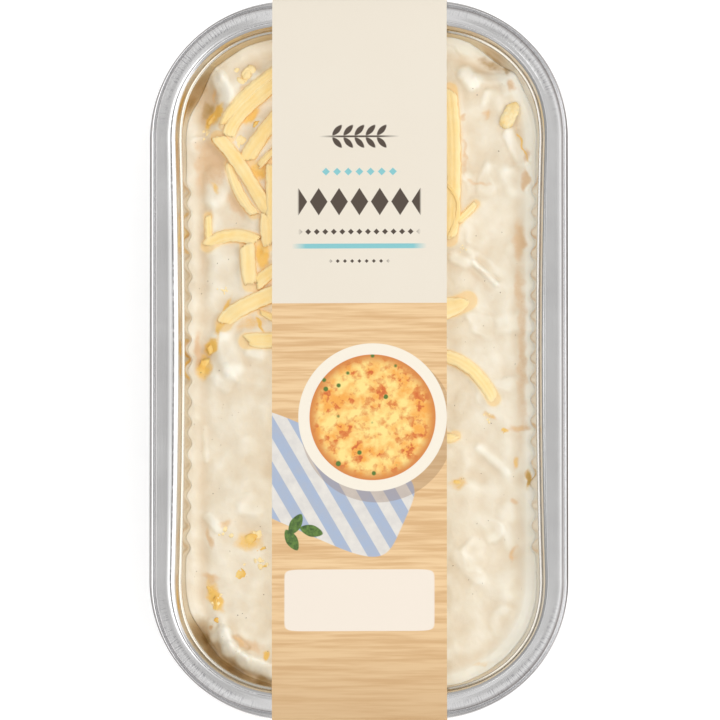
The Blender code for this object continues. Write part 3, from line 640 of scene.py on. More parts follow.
def card_finish():
    """Printed folding card. Its fields are placed in millimetres across and along the card."""
    material, tree, shader = new_finish("printed_card")
    across, run, outside = stored(tree, "card_place")
    x = calc(tree, "DIVIDE", across, MM)
    y = calc(tree, "DIVIDE", run, MM)
    fibre = add_node(tree, "ShaderNodeCombineXYZ", {"X": across, "Y": run, "Z": outside}).outputs[0]

    def field(middle_x, middle_y, half_width, half_height, turn=0.0, square=2.0, u=x):
        found = use_group(
            tree,
            OVAL,
            X=u,
            Y=y,
            Middle_X=middle_x,
            Middle_Y=middle_y,
            Half_Width=half_width,
            Half_Height=half_height,
            Turn=math.radians(turn),
            Squareness=square,
        )
        return found["Mask"], found["Reach"]

    def row_of(pitch):
        shifted = calc(tree, "ADD", x, pitch / 2)
        return calc(tree, "SUBTRACT", calc(tree, "FLOORED_MODULO", shifted, pitch), pitch / 2)

    cream = srgb(236, 228, 213)
    dark = srgb(74, 60, 48)
    turquoise = srgb(132, 200, 206)
    paper = use_group(tree, MOTTLE, Place=fibre, Size=30 * MM, Contrast=0.5)[0]
    colour = blend_colour(tree, paper, cream, srgb(234, 225, 209))

    # Wooden table top below the plain upper field
    grain = use_group(tree, LINES, Along=across, Across=run, Spacing=1.5 * MM, Length=34 * MM)[0]
    wood = blend_colour(tree, remap(tree, grain, 0.35, 0.68), srgb(240, 206, 158), srgb(218, 176, 124))
    low_end = remap(tree, y, -112.0, -70.0, 1.0, 0.0)
    wood = tinted(tree, wood, low_end, 0.55, srgb(196, 160, 116))
    picture = times(tree, calc(tree, "SUBTRACT", 17.0, y), 8.0, clamp=True)
    colour = blend_colour(tree, picture, colour, wood)

    # Striped cloth, laid slanting under the dish
    slant = calc(tree, "ADD", times(tree, x, 0.86), times(tree, y, 0.5))
    stripe = calc(tree, "SINE", times(tree, slant, math.tau / 7.0))
    cloth = blend_colour(tree, remap(tree, stripe, -0.1, 0.1), srgb(233, 229, 222), srgb(166, 184, 212))
    weave = use_group(tree, MOTTLE, Place=fibre, Size=3.0 * MM, Contrast=0.9)[0]
    cloth = tinted(tree, cloth, weave, 0.35, srgb(186, 184, 186))
    laid, _ = field(-14.0, -38.0, 30.0, 15.0, turn=-24.0, square=5.0)
    colour = blend_colour(tree, laid, colour, cloth)

    # Round dish seen from above, with a cream rim and a golden top
    shade, _ = field(5.5, -20.6, 23.4, 23.4)
    colour = tinted(tree, colour, shade, 0.4, srgb(150, 112, 78))
    rim, _ = field(4.0, -18.0, 22.6, 22.6)
    colour = blend_colour(tree, rim, colour, srgb(246, 238, 222))
    inner, reach = field(4.0, -18.0, 19.2, 19.2)
    crust = use_group(tree, MOTTLE, Place=fibre, Size=4.6 * MM, Contrast=1.7)[0]
    brown = use_group(tree, MOTTLE, Place=fibre, Size=2.4 * MM, Contrast=2.0)[0]
    top = blend_colour(tree, crust, srgb(253, 226, 140), srgb(246, 172, 72))
    brown = times(tree, remap(tree, brown, 0.5, 0.9), crust)
    top = blend_colour(tree, brown, top, srgb(214, 106, 40))
    top = blend_colour(tree, remap(tree, reach, 0.82, 1.0), top, srgb(214, 132, 60))
    herb = use_group(tree, SPECKS, Place=fibre, Spacing=3.6 * MM, Radius=0.26, Share=0.3)[0]
    top = blend_colour(tree, herb, top, srgb(84, 120, 38))
    colour = blend_colour(tree, inner, colour, top)

    # Three green leaves on the wood
    vein = use_group(tree, MOTTLE, Place=fibre, Size=1.2 * MM, Contrast=1.5)[0]
    green = blend_colour(tree, vein, srgb(96, 132, 52), srgb(56, 88, 30))
    for leaf_x, leaf_y, turn in ((-19.4, -50.6, 60.0), (-14.6, -52.6, -15.0), (-20.6, -55.4, -60.0)):
        leaf, _ = field(leaf_x, leaf_y, 3.6, 1.8, turn=turn, square=1.6)
        colour = blend_colour(tree, leaf, colour, green)

    # Plain panels, rule and ornaments of the upper field
    panel, _ = field(0.0, -73.8, 22.8, 9.4, square=14.0)
    colour = blend_colour(tree, panel, colour, srgb(243, 232, 218))
    stem, _ = field(0.0, 68.0, 9.5, 0.28, square=4.0)
    colour = blend_colour(tree, stem, colour, dark)
    within, _ = field(0.0, 68.0, 8.6, 4.6, square=8.0)
    for leaf_y, turn in ((69.9, 48.0), (66.1, -48.0)):
        leaf, _ = field(0.0, leaf_y, 2.1, 0.85, turn=turn, square=1.6, u=row_of(3.4))
        colour = tinted(tree, colour, leaf, within, dark)
    for middle, half_height, pitch, half_width, reach_x, tint in (
        (57.2, 1.2, 3.4, 1.2, 12.0, turquoise),
        (48.0, 4.2, 6.2, 2.7, 18.6, dark),
        (38.8, 0.9, 2.6, 0.9, 17.5, dark),
        (29.8, 0.6, 2.2, 0.6, 8.6, dark),
    ):
        motif, _ = field(0.0, middle, half_width, half_height, square=1.0, u=row_of(pitch))
        within, _ = field(0.0, middle, reach_x, half_height * 1.3, square=14.0)
        colour = tinted(tree, colour, motif, within, tint)
    rule, _ = field(0.0, 34.4, 18.5, 0.75, square=14.0)
    colour = blend_colour(tree, rule, colour, turquoise)

    # The print ends on the end panels; the underside and the inside are plain
    printed = times(tree, calc(tree, "LESS_THAN", calc(tree, "ABSOLUTE", y), 146.0), outside)
    plain = blend_colour(tree, paper, srgb(226, 219, 204), srgb(218, 209, 192))
    colour = blend_colour(tree, printed, plain, colour)
    set_surface(tree, shader, colour, paper, 0.1, 0.42)
    grain = use_group(tree, GRAIN, Place=fibre, Size=0.9 * MM, Fineness=0.5)[0]
    add_bump(tree, shader, grain, 0.02 * MM, 0.4)
    return material


def card_edge_finish():
    """The cut edge of the card, where its white core shows."""
    material, tree, shader = new_finish("cut_card_edge")
    place = object_place(tree)
    fibre = use_group(tree, MOTTLE, Place=place, Size=0.8 * MM, Contrast=1.0)[0]
    colour = blend_colour(tree, fibre, srgb(250, 247, 240), srgb(238, 231, 218))
    tree.links.new(colour, shader.inputs["Base Color"])
    grain = use_group(tree, GRAIN, Place=place, Size=0.3 * MM, Fineness=0.5)[0]
    add_bump(tree, shader, grain, 0.03 * MM, 0.5)
    shader.inputs["Roughness"].default_value = 0.7
    return material


# Mesh helpers


def new_piece(name, points, faces, material):
    """Makes a smooth mesh piece that rides with the tray, with its faces turned outwards."""
    mesh = bpy.data.meshes.new(name)
    mesh.from_pydata([tuple(point) for point in points], [], faces)
    shape = bmesh.new()
    shape.from_mesh(mesh)
    bmesh.ops.recalc_face_normals(shape, faces=shape.faces)
    shape.to_mesh(mesh)
    shape.free()
    mesh.shade_smooth()
    mesh.materials.append(material)
    piece = bpy.data.objects.new(name, mesh)
    bpy.context.scene.collection.objects.link(piece)
    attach(piece, "root")
    return piece


def store(piece, name, values):
    """Stores three numbers at each point of a piece."""
    field = piece.data.attributes.new(name, "FLOAT_VECTOR", "POINT")
    field.data.foreach_set("vector", np.asarray(values, np.float32).ravel())


def grid_faces(rows, columns, start=0):
    """Quads between closed rows of points, whose numbers begin at start."""
    faces = []
    for row in range(rows - 1):
        for column in range(columns):
            after = (column + 1) % columns
            base, above = start + row * columns, start + (row + 1) * columns
            faces.append((base + column, base + after, above + after, above + column))
    return faces


def smooth_share(value):
    """0 below 0, 1 above 1 and a soft S between."""
    value = np.clip(value, 0.0, 1.0)
    return value * value * (3 - 2 * value)


def noise_at(x, y, layer, length):
    """Smooth noise from about -1 to 1 at places x, y, with features of about one length."""
    return np.array([noise.noise(Vector((a, b, layer)) / length) for a, b in zip(x, y)])


# How the rim and wall draw nearer to the outline: pulls in mm, and turns in degrees from the sides
RIM_PULL = 0.85
END_PULL = 0.75
WALL_PULL = 0.5
BEAD_SQUEEZE = 0.38
PULL_GROWS = 32
PULL_SHRINKS = 40


class Outline:
    """Stations round the tray's outer outline, anticlockwise from the right side's lower end."""

    def __init__(self, straight_step, corner_step):
        half_sizes = (TRAY_WIDTH / 2, TRAY_LENGTH / 2)
        quarter = math.pi / 2 * CORNER_RADIUS
        columns = []
        travelled = 0.0
        for turn in range(4):
            angle = turn * math.pi / 2
            out = (math.cos(angle), math.sin(angle))
            way = (-out[1], out[0])
            half, other = half_sizes[turn % 2], half_sizes[(turn + 1) % 2]
            length = 2 * (other - CORNER_RADIUS)
            for share in np.arange(round(length / straight_step)) / round(length / straight_step):
                along = (share - 0.5) * length
                x, y = (out[axis] * half + way[axis] * along for axis in (0, 1))
                rib = 0.0
                place = (y - RIB_MIDDLE) / RIB_PITCH + RIB_COUNT / 2
                if turn % 2 == 0 and 0 <= place <= RIB_COUNT:
                    rib = (1 - math.cos(math.tau * place)) / 2
                columns.append((travelled + share * length, x, y, -out[0], -out[1], rib, 0.0))
            travelled += length
            middle = [
                out[axis] * (half - CORNER_RADIUS) + way[axis] * length / 2 for axis in (0, 1)
            ]
            for share in np.arange(round(quarter / corner_step)) / round(quarter / corner_step):
                bend = angle + share * math.pi / 2
                ray = (math.cos(bend), math.sin(bend))
                x, y = (middle[axis] + CORNER_RADIUS * ray[axis] for axis in (0, 1))
                bent = math.sin(share * math.pi)
                columns.append((travelled + share * quarter, x, y, -ray[0], -ray[1], 0.0, bent))
            travelled += quarter
        data = np.array(columns)
        self.place, self.x, self.y, self.in_x, self.in_y, self.rib, self.bent = data.T
        self.count = len(data)

    def pull(self, inset):
        """How much nearer to the outline a form is in the corners and at the ends than its inset says."""
        turn = np.degrees(np.arcsin(np.minimum(np.abs(self.in_y), 1.0)))
        side = np.minimum(np.abs(self.y) / (TRAY_LENGTH / 2 - CORNER_RADIUS), 1.0) ** 2
        into_corner = smooth_share(turn / PULL_GROWS)
        towards_end = smooth_share((turn - PULL_SHRINKS) / (90 - PULL_SHRINKS))
        rim = side + RIM_PULL * into_corner - END_PULL * towards_end
        wall = WALL_PULL * (1 + side) + 0.1 * turn / 90
        deep = smooth_share((inset / MM - 10.6) / 1.6)
        reach = smooth_share((inset / MM - 4) / 5) * smooth_share((30 - inset / MM) / 14)
        bead = BEAD_SQUEEZE * self.bent * inset * smooth_share((3.6 - inset / MM) / 2)
        return (rim + (wall - rim) * deep) * reach * MM + bead

    def ring(self, inset, height, rib_depth=0.0):
        """Points at an inset from the outline, plus the ribs' depth."""
        reach = inset + self.rib * rib_depth - self.pull(inset)
        x = self.x + self.in_x * reach
        y = self.y + self.in_y * reach
        return np.column_stack((x, y, np.broadcast_to(height, x.shape)))


def wall_inset(height):
    """How far inside the outer outline the plain wall's inner face is at a height."""
    return LEDGE_INSET + (LEDGE_HEIGHT - height) * WALL_LEAN


def inset_of(x, y):
    """How far places lie inside the tray's outer outline."""
    over_x = np.abs(x) - (TRAY_WIDTH / 2 - CORNER_RADIUS)
    over_y = np.abs(y) - (TRAY_LENGTH / 2 - CORNER_RADIUS)
    corner = np.hypot(np.maximum(over_x, 0.0), np.maximum(over_y, 0.0))
    return CORNER_RADIUS - corner - np.minimum(np.maximum(over_x, over_y), 0.0)


# Foil tray

# The rim from the wall outwards in mm: inset, height on the left side, height on the right side
RIM_SECTION = (
    (10.62, -3.13, -3.13),
    (10.48, -3.11, -3.06),
    (10.02, -3.05, -2.99),
    (9.88, -2.93, -2.92),
    (9.76, -2.6, -2.62),
    (9.34, -1.75, -1.35),
    (9.02, -0.98, -0.54),
    (8.8, -0.6, -0.33),
    (8.52, -0.42, -0.23),
    (8.22, -0.27, -0.13),
    (7.94, -0.13, -0.04),
    (7.88, -0.1, -0.01),
    (7.78, -0.06, 0.0),
    (7.62, -0.03, 0.0),
    (7.46, -0.05, 0.0),
    (7.34, -0.14, 0.0),
    (7.22, -0.22, 0.0),
    (7.08, -0.22, 0.0),
    (6.8, -0.17, 0.0),
    (6.4, -0.1, 0.0),
    (6.0, -0.05, 0.0),
    (5.6, -0.01, 0.0),
    (5.3, 0.0, 0.0),
    (4.2, 0.0, 0.0),
    (3.35, 0.0, 0.0),
    (2.95, 0.0, -0.035),
    (2.4, 0.0, -0.095),
    (2.25, 0.0, -0.11),
    (2.15, -0.03, -0.125),
    (1.95, -0.35, -0.62),
    (1.78, -0.8, -0.9),
    (1.66, -1.15, -1.15),
)

# How the rim sways, droops, dips and dents, and how much painted shade lies on the left flange and on the
# outer wall
RIM_SWAY = 0.17 * MM
FLANGE_ENDS = 7.2 * MM
END_DROOP = math.tan(math.radians(4.5))
CORNER_DIP = 0.2 * MM
WALL_DENT = 0.05 * MM
LEFT_SHADE = 0.08
OUTER_WALL_SHADE = 0.4


def tray_rows():
    """The foil's section as (inset, height, rib share), up the inside, over the rim, down outside."""
    floor = -TRAY_DEPTH + FOIL
    rows = []
    for step in range(7):
        angle = step / 6 * math.pi / 2
        height = floor + BASE_ROUND * (1 - math.cos(angle))
        rows.append((wall_inset(height) + BASE_ROUND * (1 - math.sin(angle)), height, 0.0))
    low, high = floor + BASE_ROUND, floor + 2 * BASE_ROUND
    for share in (0.25, 0.5, 0.75, 1.0):
        height = low + (high - low) * share
        rows.append((wall_inset(height), height, share))
    for share in (0.33, 0.67, 0.9):
        height = high + (RIBS_BEGIN - high) * share
        rows.append((wall_inset(height), height, 1.0))
    for share in (0.0, 0.25, 0.5, 0.75, 1.0):
        height = RIBS_BEGIN + (LEDGE_HEIGHT - 0.2 * MM - RIBS_BEGIN) * share
        rows.append((wall_inset(height), height, 1 - share))
    rows += [(inset * MM, (left * MM, right * MM), 0.0) for inset, left, right in RIM_SECTION]
    for angle in (*range(10, 171, 10), *range(190, 331, 20)):
        turn = math.radians(angle)
        across = BEAD_RADIUS * (1 + math.cos(turn))
        rows.append((across, BEAD_CENTRE + BEAD_RADIUS * math.sin(turn), 0.0))
    under = ((2.0, -1.42), (2.3, -0.88), (2.9, -0.6), (5.0, -0.45), (7.4, -0.65), (8.3, -1.0))
    rows += [(inset * MM, height * MM, 0.0) for inset, height in under]
    outside = FOIL * math.sqrt(1 + WALL_LEAN**2)
    rows.append((9.4 * MM, -3.1 * MM, 0.0))
    rows.append((LEDGE_INSET - outside, LEDGE_HEIGHT - FOIL, 0.0))
    for share in (0.5, 1.0):
        height = LEDGE_HEIGHT - FOIL + (RIBS_BEGIN - FOIL / 2 - LEDGE_HEIGHT + FOIL) * share
        rows.append((wall_inset(height) - outside, height, share))
    rows.append((wall_inset(high - FOIL / 2) - outside, high - FOIL / 2, 1.0))
    for share in (0.6, 0.3):
        height = low + (high - low) * share
        rows.append((wall_inset(height) - outside, height, share))
    for step in range(5, -1, -1):
        angle = step / 5 * math.pi / 2
        reach = BASE_ROUND + FOIL
        height = floor + BASE_ROUND - reach * math.cos(angle)
        inset = wall_inset(height) + BASE_ROUND - reach * math.sin(angle)
        rows.append((inset, height, 0.0))
    return rows


def thin_line(inset, middle, spread):
    """1 on a line round the rim, whose inset and spread are in mm, and 0 beside it."""
    return math.exp(-(((inset / MM - middle) / spread) ** 2))


def rim_shades(outline, inset, upper, outside):
    """One ring's share of painted shade in the grooves, on the bead, the left flange and the outer wall,
    of painted shade along the dotted crease, and of the gratin's painted reflection.
    """
    right = 0.5 - 0.5 * outline.in_x
    left = 1 - right
    at_end = outline.in_y**2
    along_side = (1 - at_end) * (1 - 0.7 * outline.bent)
    # Painted shade in the flange's grooves and along the bead
    groove_shade = thin_line(inset, 2.3, 0.17) * right
    groove_shade += thin_line(inset, 2.12, 0.2) * (0.55 + 0.2 * np.maximum(at_end, outline.bent)) * left
    bead = thin_line(inset, 0.92, 0.28) * right * along_side
    bead += 0.6 * thin_line(inset, 0.72, 0.28) * left * along_side
    bead += 0.85 * thin_line(inset, 0.72, 0.14) * outline.bent
    bead += 0.3 * (thin_line(inset, 0.9, 0.2) + thin_line(inset, 0.1, 0.2)) * at_end
    # Painted shade over the whole left flange, and on the outer wall below the rim
    dark = np.maximum(np.maximum(groove_shade, bead), LEFT_SHADE * left) * upper
    dark += OUTER_WALL_SHADE * outside * (1 - upper)
    # Painted shade along the dotted crease on the left flange
    crease = thin_line(inset, 7.4, 0.15) * left
    # How much of the gratin's painted reflection the ring takes, most on the left
    gratin_reflection = (1 - 0.85 * smooth_share(2 * right - 1)) * (1 - outside)
    return np.column_stack((dark, crease, gratin_reflection))


def make_tray(material):
    """The foil tray, with crinkles pressed across its flange where the corners bend."""
    outline = Outline(0.8 * MM, 0.46 * MM)
    still = 0 * outline.place
    crinkle = noise_at(outline.place, still, 0.3, 1.3 * MM)
    swell = 0.6 + 0.5 * noise_at(outline.place, still, 0.7, 11 * MM)
    upright = noise_at(outline.place, still, 0.5, 2.2 * MM)
    to_right = 0.5 - 0.5 * outline.in_x
    droop = np.where(outline.in_y > 0, outline.in_y**2, outline.in_y**6)
    points, marks, folds = [], [], []
    section = tray_rows()
    outmost = min(range(len(section)), key=lambda at: section[at][0])
    for number, (inset, height, rib) in enumerate(section):
        upper = float(np.mean(height) > -2.0 * MM)
        # Painted shade and painted reflection for this ring, which the foil's colour reads
        folds.append(rim_shades(outline, inset, upper, float(number > outmost)))
        if isinstance(height, tuple):
            height = height[0] + (height[1] - height[0]) * to_right
        sway = RIM_SWAY * outline.in_x * smooth_share((inset - FLANGE_ENDS) / (0.8 * MM))
        sway *= smooth_share((height / MM + 7.0) / 3.0)
        ring = outline.ring(inset + sway, height, rib * RIB_DEPTH)
        on_flange = smooth_share((inset / MM - 1.7) / 0.5) * smooth_share((7.3 - inset / MM) / 0.4)
        on_wall = np.mean(height) < LEDGE_HEIGHT
        ring[:, 2] += crinkle * swell * outline.bent * on_flange * WRINKLE
        ring[:, 2] += min(inset - FLANGE_ENDS, 0.0) * END_DROOP * droop
        ring[:, 2] -= CORNER_DIP * outline.bent * smooth_share((inset / MM - 4.3) / 1.2)
        push = upright * outline.bent * on_wall * WALL_DENT
        ring += np.column_stack((outline.in_x * push, outline.in_y * push, still + RIM_HEIGHT))
        points.append(ring)
        creased = outline.bent * (on_flange + 0.25 * on_wall)
        marks.append(np.column_stack((outline.place, still + inset, creased)))
    rows = len(points)
    faces = grid_faces(rows, outline.count)
    faces.append(tuple(range(outline.count - 1, -1, -1)))
    last = (rows - 1) * outline.count
    faces.append(tuple(range(last, last + outline.count)))
    piece = new_piece("bright_foil_tray", np.vstack(points), faces, material)
    turned = smooth_share(1.5 * np.abs(outline.in_y))
    store(piece, "rim_place", np.vstack(marks))
    store(piece, "rim_painted_light", np.vstack(folds))
    store(piece, "rim_turn", np.tile(np.column_stack((turned, still, still)), (rows, 1)))
    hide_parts("foil_tray")


# Sauce


def sauce_base(x, y):
    """Height of the sauce as the solid has it: crown, soft waves, bumps, hollows and edge valley."""
    from_wall = np.maximum(0.0, inset_of(x, y) - wall_inset(SAUCE_LEVEL))
    height = SAUCE_LEVEL + SAUCE_CROWN * np.minimum(1.0, from_wall / CROWN_REACH)
    for layer, (rise, length) in enumerate(SAUCE_WAVES):
        height += rise * noise_at(x, y, 0.05 * layer, length)
    for middle_x, middle_y, radius, rise in RELIEF:
        far = np.hypot(x / MM - middle_x, y / MM - middle_y) / radius
        height += rise * MM * np.exp(-far * far)
    depth = VALLEY_DEPTH * (0.7 + 0.6 * noise_at(x, y, 0.1, VALLEY_CHANGES))
    height -= depth * np.exp(-(((from_wall - VALLEY_FROM_WALL) / VALLEY_REACH) ** 2))
    return np.minimum(height, TOP_LIMIT - SHRED_THICK)


def sauce_height(x, y):
    """Height of the sauce with its narrow folds, the slices just under it and fine waves."""
    height = sauce_base(x, y)
    for start, end, radius, rise, steepness in FOLDS:
        far = distance_to_line(x / MM, y / MM, start, end)
        height += rise * MM * np.exp(-((far / radius) ** steepness))
    lifted = np.zeros(len(x))
    drawn_x = x / MM + 2.6 * noise_at(x, y, 0.31, 5 * MM)
    drawn_y = y / MM + 2.6 * noise_at(x, y, 0.33, 5 * MM)
    for middle_x, middle_y, radius_x, radius_y, turn, rise, lean_x, lean_y in SUNK_SLICES:
        dx, dy = drawn_x - middle_x, drawn_y - middle_y
        far = oval_distance(dx, dy, radius_x, radius_y, turn)
        tilted = rise * (1 + lean_x * dx + lean_y * dy)
        lifted = np.maximum(lifted, tilted * smooth_share((1 - far) / 0.45))
    height += lifted * MM
    for layer, (rise, length) in enumerate(FINE_WAVES):
        height += rise * noise_at(x, y, 0.2 + 0.05 * layer, length)
    return height


def distance_to_line(x, y, start, end):
    """How far places are from a straight line between two points."""
    run = np.array(end) - np.array(start)
    share = ((x - start[0]) * run[0] + (y - start[1]) * run[1]) / (run @ run)
    share = np.clip(share, 0.0, 1.0)
    return np.hypot(x - start[0] - share * run[0], y - start[1] - share * run[1])


def oval_distance(dx, dy, radius_x, radius_y, turn):
    """Distance from the middle of a turned oval, 1 on the oval itself."""
    cosine, sine = math.cos(turn), math.sin(turn)
    return np.hypot((dx * cosine + dy * sine) / radius_x, (dy * cosine - dx * sine) / radius_y)


SLICE_COUNT = 34


def sunk_slices():
    """Potato just under the sauce in mm: middle, radii, turn, rise and how the top leans."""
    dice = random.Random(31)
    slices = []
    for _ in range(SLICE_COUNT):
        place = (dice.choice((-1, 1)) * dice.uniform(27.0, 50.0), dice.uniform(-98.0, 98.0))
        radii = (dice.uniform(4.0, 9.0), dice.uniform(2.5, 5.0))
        lean = (dice.uniform(-0.14, 0.14), dice.uniform(-0.14, 0.14))
        slices.append((*place, *radii, dice.uniform(0, math.pi), dice.uniform(0.15, 0.5), *lean))
    return slices


SUNK_SLICES = sunk_slices()


def patch_amounts(x, y):
    """How much peach and golden potato shows through the sauce at each place, with golden shade painted
    between some shreds, and how much brown shade is painted there.
    """
    amounts = np.zeros((len(x), 3))
    warped = []
    for layer, places in enumerate((x, y)):
        broad = 0.9 * noise_at(x, y, 0.5 + 0.02 * layer, 2.6 * MM)
        fine = 0.25 * noise_at(x, y, 0.6 + 0.02 * layer, 1.1 * MM)
        warped.append(places / MM + 1.2 * (broad + fine))
    for middle_x, middle_y, radius_x, radius_y, turn, *strengths in PATCHES:
        dx, dy = warped[0] - middle_x, warped[1] - middle_y
        far = oval_distance(dx, dy, radius_x, radius_y, math.radians(turn))
        amounts = np.maximum(amounts, np.exp(-(far**3))[:, None] * np.array(strengths))
    return amounts


def bent_line(start, middle, end, shares):
    """Points at some shares of a line bent through a middle point, and which way it runs there."""
    start, middle, end = (np.array(place) for place in (start, middle, end))
    control = 2 * middle - (start + end) / 2
    share = shares[:, None]
    line = (1 - share) ** 2 * start + 2 * share * (1 - share) * control + share**2 * end
    run = 2 * (1 - share) * (control - start) + 2 * share * (end - control)
    return line, run / np.linalg.norm(run, axis=1)[:, None]


def from_cheese(x, y):
    """How many millimetres places lie beside the nearest shred in the open, 0 under one."""
    nearest = np.full(len(x), 9.0)
    for start, middle, end, width, *_ in SHREDS:
        line, _ = bent_line(start, middle, end, np.linspace(0, 1, 8))
        for before, after in zip(line[:-1], line[1:]):
            away = distance_to_line(x / MM, y / MM, before, after) - width / 2
            nearest = np.minimum(nearest, away)
    return np.maximum(0.0, nearest)


# Sauce at the wall: how far it runs into the foil, what it climbs, and its bank on the right side
WALL_TOUCH = 0.06 * MM
LEFT_CLIMB = (0.1 * MM, 0.35 * MM)
RIGHT_CLIMB = (0.5 * MM, 0.5 * MM)
RIGHT_BANK = (0.8 * MM, 0.4 * MM)
BANK_REACH = 2.5 * MM
RIBS_FADE = 2.2 * MM


def sauce_rings(outline):
    """Rings of the sauce's top: its edge on the ribbed wall, the film there, then on inwards."""
    wall_start = wall_inset(SAUCE_LEVEL)
    uneven = 0.5 + 0.5 * noise_at(outline.x, outline.y, 0.4, 9 * MM)
    to_right = smooth_share(0.6 - 0.8 * outline.in_x)
    climb = (LEFT_CLIMB[0] + LEFT_CLIMB[1] * uneven) * (1 - to_right)
    climb += (RIGHT_CLIMB[0] + RIGHT_CLIMB[1] * uneven) * to_right
    bank = (RIGHT_BANK[0] + RIGHT_BANK[1] * uneven) * to_right
    edge_height = sauce_height(*outline.ring(wall_start + GAP, 0.0)[:, :2].T) + bank
    top = edge_height + climb
    rings = [
        outline.ring(wall_inset(top) - WALL_TOUCH, top, RIB_DEPTH),
        outline.ring(wall_inset(top) + 0.28 * MM, edge_height + 0.72 * climb, RIB_DEPTH),
    ]
    steps = round((SAUCE_INSIDE - wall_start) / SAUCE_STEP)
    first = wall_inset(edge_height) + 0.6 * MM
    for step in range(steps + 1):
        share = step / steps
        inset = first + (SAUCE_INSIDE - first) * share
        keep_rib = RIB_DEPTH * math.exp(-share * (SAUCE_INSIDE - wall_start) / RIBS_FADE)
        ring = outline.ring(inset, 0.0, keep_rib)
        ring[:, 2] = sauce_height(ring[:, 0], ring[:, 1])
        ring[:, 2] += bank * np.exp(-(((inset - wall_start) / BANK_REACH) ** 2))
        rings.append(ring)
    rings[2][:, 2] += 0.3 * climb
    return rings


def middle_net(inner, inner_start, next_number):
    """New points and triangles in a coarser net inside the innermost ring, under the sleeve."""
    count = len(inner)
    places = [Vector(point[:2]) for point in inner]
    for x in np.arange(-22.0, 22.1, 2.0) * MM:
        for y in np.arange(-68.0, 68.1, 2.0) * MM:
            if inset_of(np.array([x]), np.array([y]))[0] > SAUCE_INSIDE + 1.0 * MM:
                places.append(Vector((x, y)))
    border = [(at, (at + 1) % count) for at in range(count)]
    found = delaunay_2d_cdt(places, border, [], 1, 0.001 * MM)
    x, y = (np.array([place[axis] for place in found[0]]) for axis in (0, 1))
    laid = np.column_stack((x, y, sauce_height(x, y)))
    added, number_of = [], {}
    for at, sources in enumerate(found[3]):
        if sources and sources[0] < count:
            number_of[at] = inner_start + sources[0]
        else:
            number_of[at] = next_number + len(added)
            added.append(laid[at])
    return added, [tuple(number_of[at] for at in triangle) for triangle in found[2]]


def sauce_forms(x, y, beside):
    """Shares of painted shade in hollows, of painted highlight on crests and on the film by the right
    wall, and of painted light beside the shreds, at each place of the sauce.
    """
    around = np.zeros(len(x))
    for dx, dy in ((3, 0), (-3, 0), (0, 3), (0, -3), (2, 2), (-2, 2), (2, -2), (-2, -2)):
        around += sauce_height(x + dx * MM, y + dy * MM) / 8
    here = sauce_height(x, y)
    # A paler sauce film climbs the right wall, and painted light is laid on it
    from_film = inset_of(x, y) - wall_inset(SAUCE_LEVEL) - 1.6 * MM
    film = np.exp(-np.maximum(0.0, from_film) / (1.1 * MM)) * smooth_share(x / (20 * MM))
    # Painted shade where the sauce lies lower than around it, painted highlight where it lies higher
    hollow_shade = np.clip((around - here) / (0.9 * MM), 0.0, 1.0) * (1 - film)
    crest_highlight = np.maximum(np.clip((here - around) / (0.7 * MM), 0.0, 1.0), film)
    return np.column_stack((hollow_shade, crest_highlight, np.exp(-((beside / 0.5) ** 2))))


def make_sauce(material):
    """The gratin without its cheese: rings that follow the ribbed wall, a middle and the sides."""
    outline = Outline(0.46 * MM, 0.5 * MM)
    count = outline.count
    rings = sauce_rings(outline)
    faces = grid_faces(len(rings), count)
    inner, inner_start = rings[-1], (len(rings) - 1) * count
    side_start = len(rings) * count
    floor = -TRAY_DEPTH + FOIL
    high, low = floor + 2 * BASE_ROUND, floor + BASE_ROUND
    rings.append(outline.ring(wall_inset(high) + GAP, high, RIB_DEPTH))
    rings.append(outline.ring(wall_inset(low) + 1.5 * GAP, low))
    rings.append(outline.ring(wall_inset(floor) + BASE_ROUND, floor + GAP))
    for at in range(count):
        faces.append((at, side_start + at, side_start + (at + 1) % count, (at + 1) % count))
    faces += grid_faces(3, count, start=side_start)
    faces.append(tuple(range(side_start + 2 * count, side_start + 3 * count)))
    added, triangles = middle_net(inner, inner_start, len(rings) * count)
    points = np.vstack((*rings, *added))
    x, y = points[:, 0].copy(), points[:, 1].copy()
    beside = from_cheese(x, y)
    points[:, 2] += CHEESE_BEDDED * np.exp(-((beside / 1.2) ** 2)) + RIM_HEIGHT
    piece = new_piece("sauced_potato", points, faces + triangles, material)
    store(piece, "show_through", patch_amounts(x, y))
    store(piece, "sauce_light_and_shade", sauce_forms(x, y, beside))
    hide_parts("gratin")


# Cheese


def heap_routes():
    """Routes of the shreds that the sleeve covers, as the solid has them."""
    dice = random.Random(41)
    routes = []
    while len(routes) < HEAP_SHREDS:
        turn = dice.uniform(0, math.tau)
        far = math.sqrt(dice.random())
        x = HEAP_MIDDLE[0] + HEAP_REACH[0] * far * math.cos(turn)
        y = HEAP_MIDDLE[1] + HEAP_REACH[1] * far * math.sin(turn)
        heading = dice.uniform(0, math.pi)
        half = dice.uniform(*HEAP_HALF_LENGTHS)
        bend = dice.uniform(-0.25, 0.25) * half
        along = (math.cos(heading) * half, math.sin(heading) * half)
        start = (x - along[0], y - along[1])
        end = (x + along[0], y + along[1])
        middle = (x - along[1] / half * bend, y + along[0] / half * bend)
        width = dice.uniform(*HEAP_WIDTHS)
        lifts = (dice.uniform(*HEAP_LOW_LIFTS), dice.uniform(*HEAP_HIGH_LIFTS))
        if max(abs(start[0]), abs(end[0])) < SLEEVE_WIDTH / 2:
            routes.append((start, middle, end, width, *lifts))
    return routes


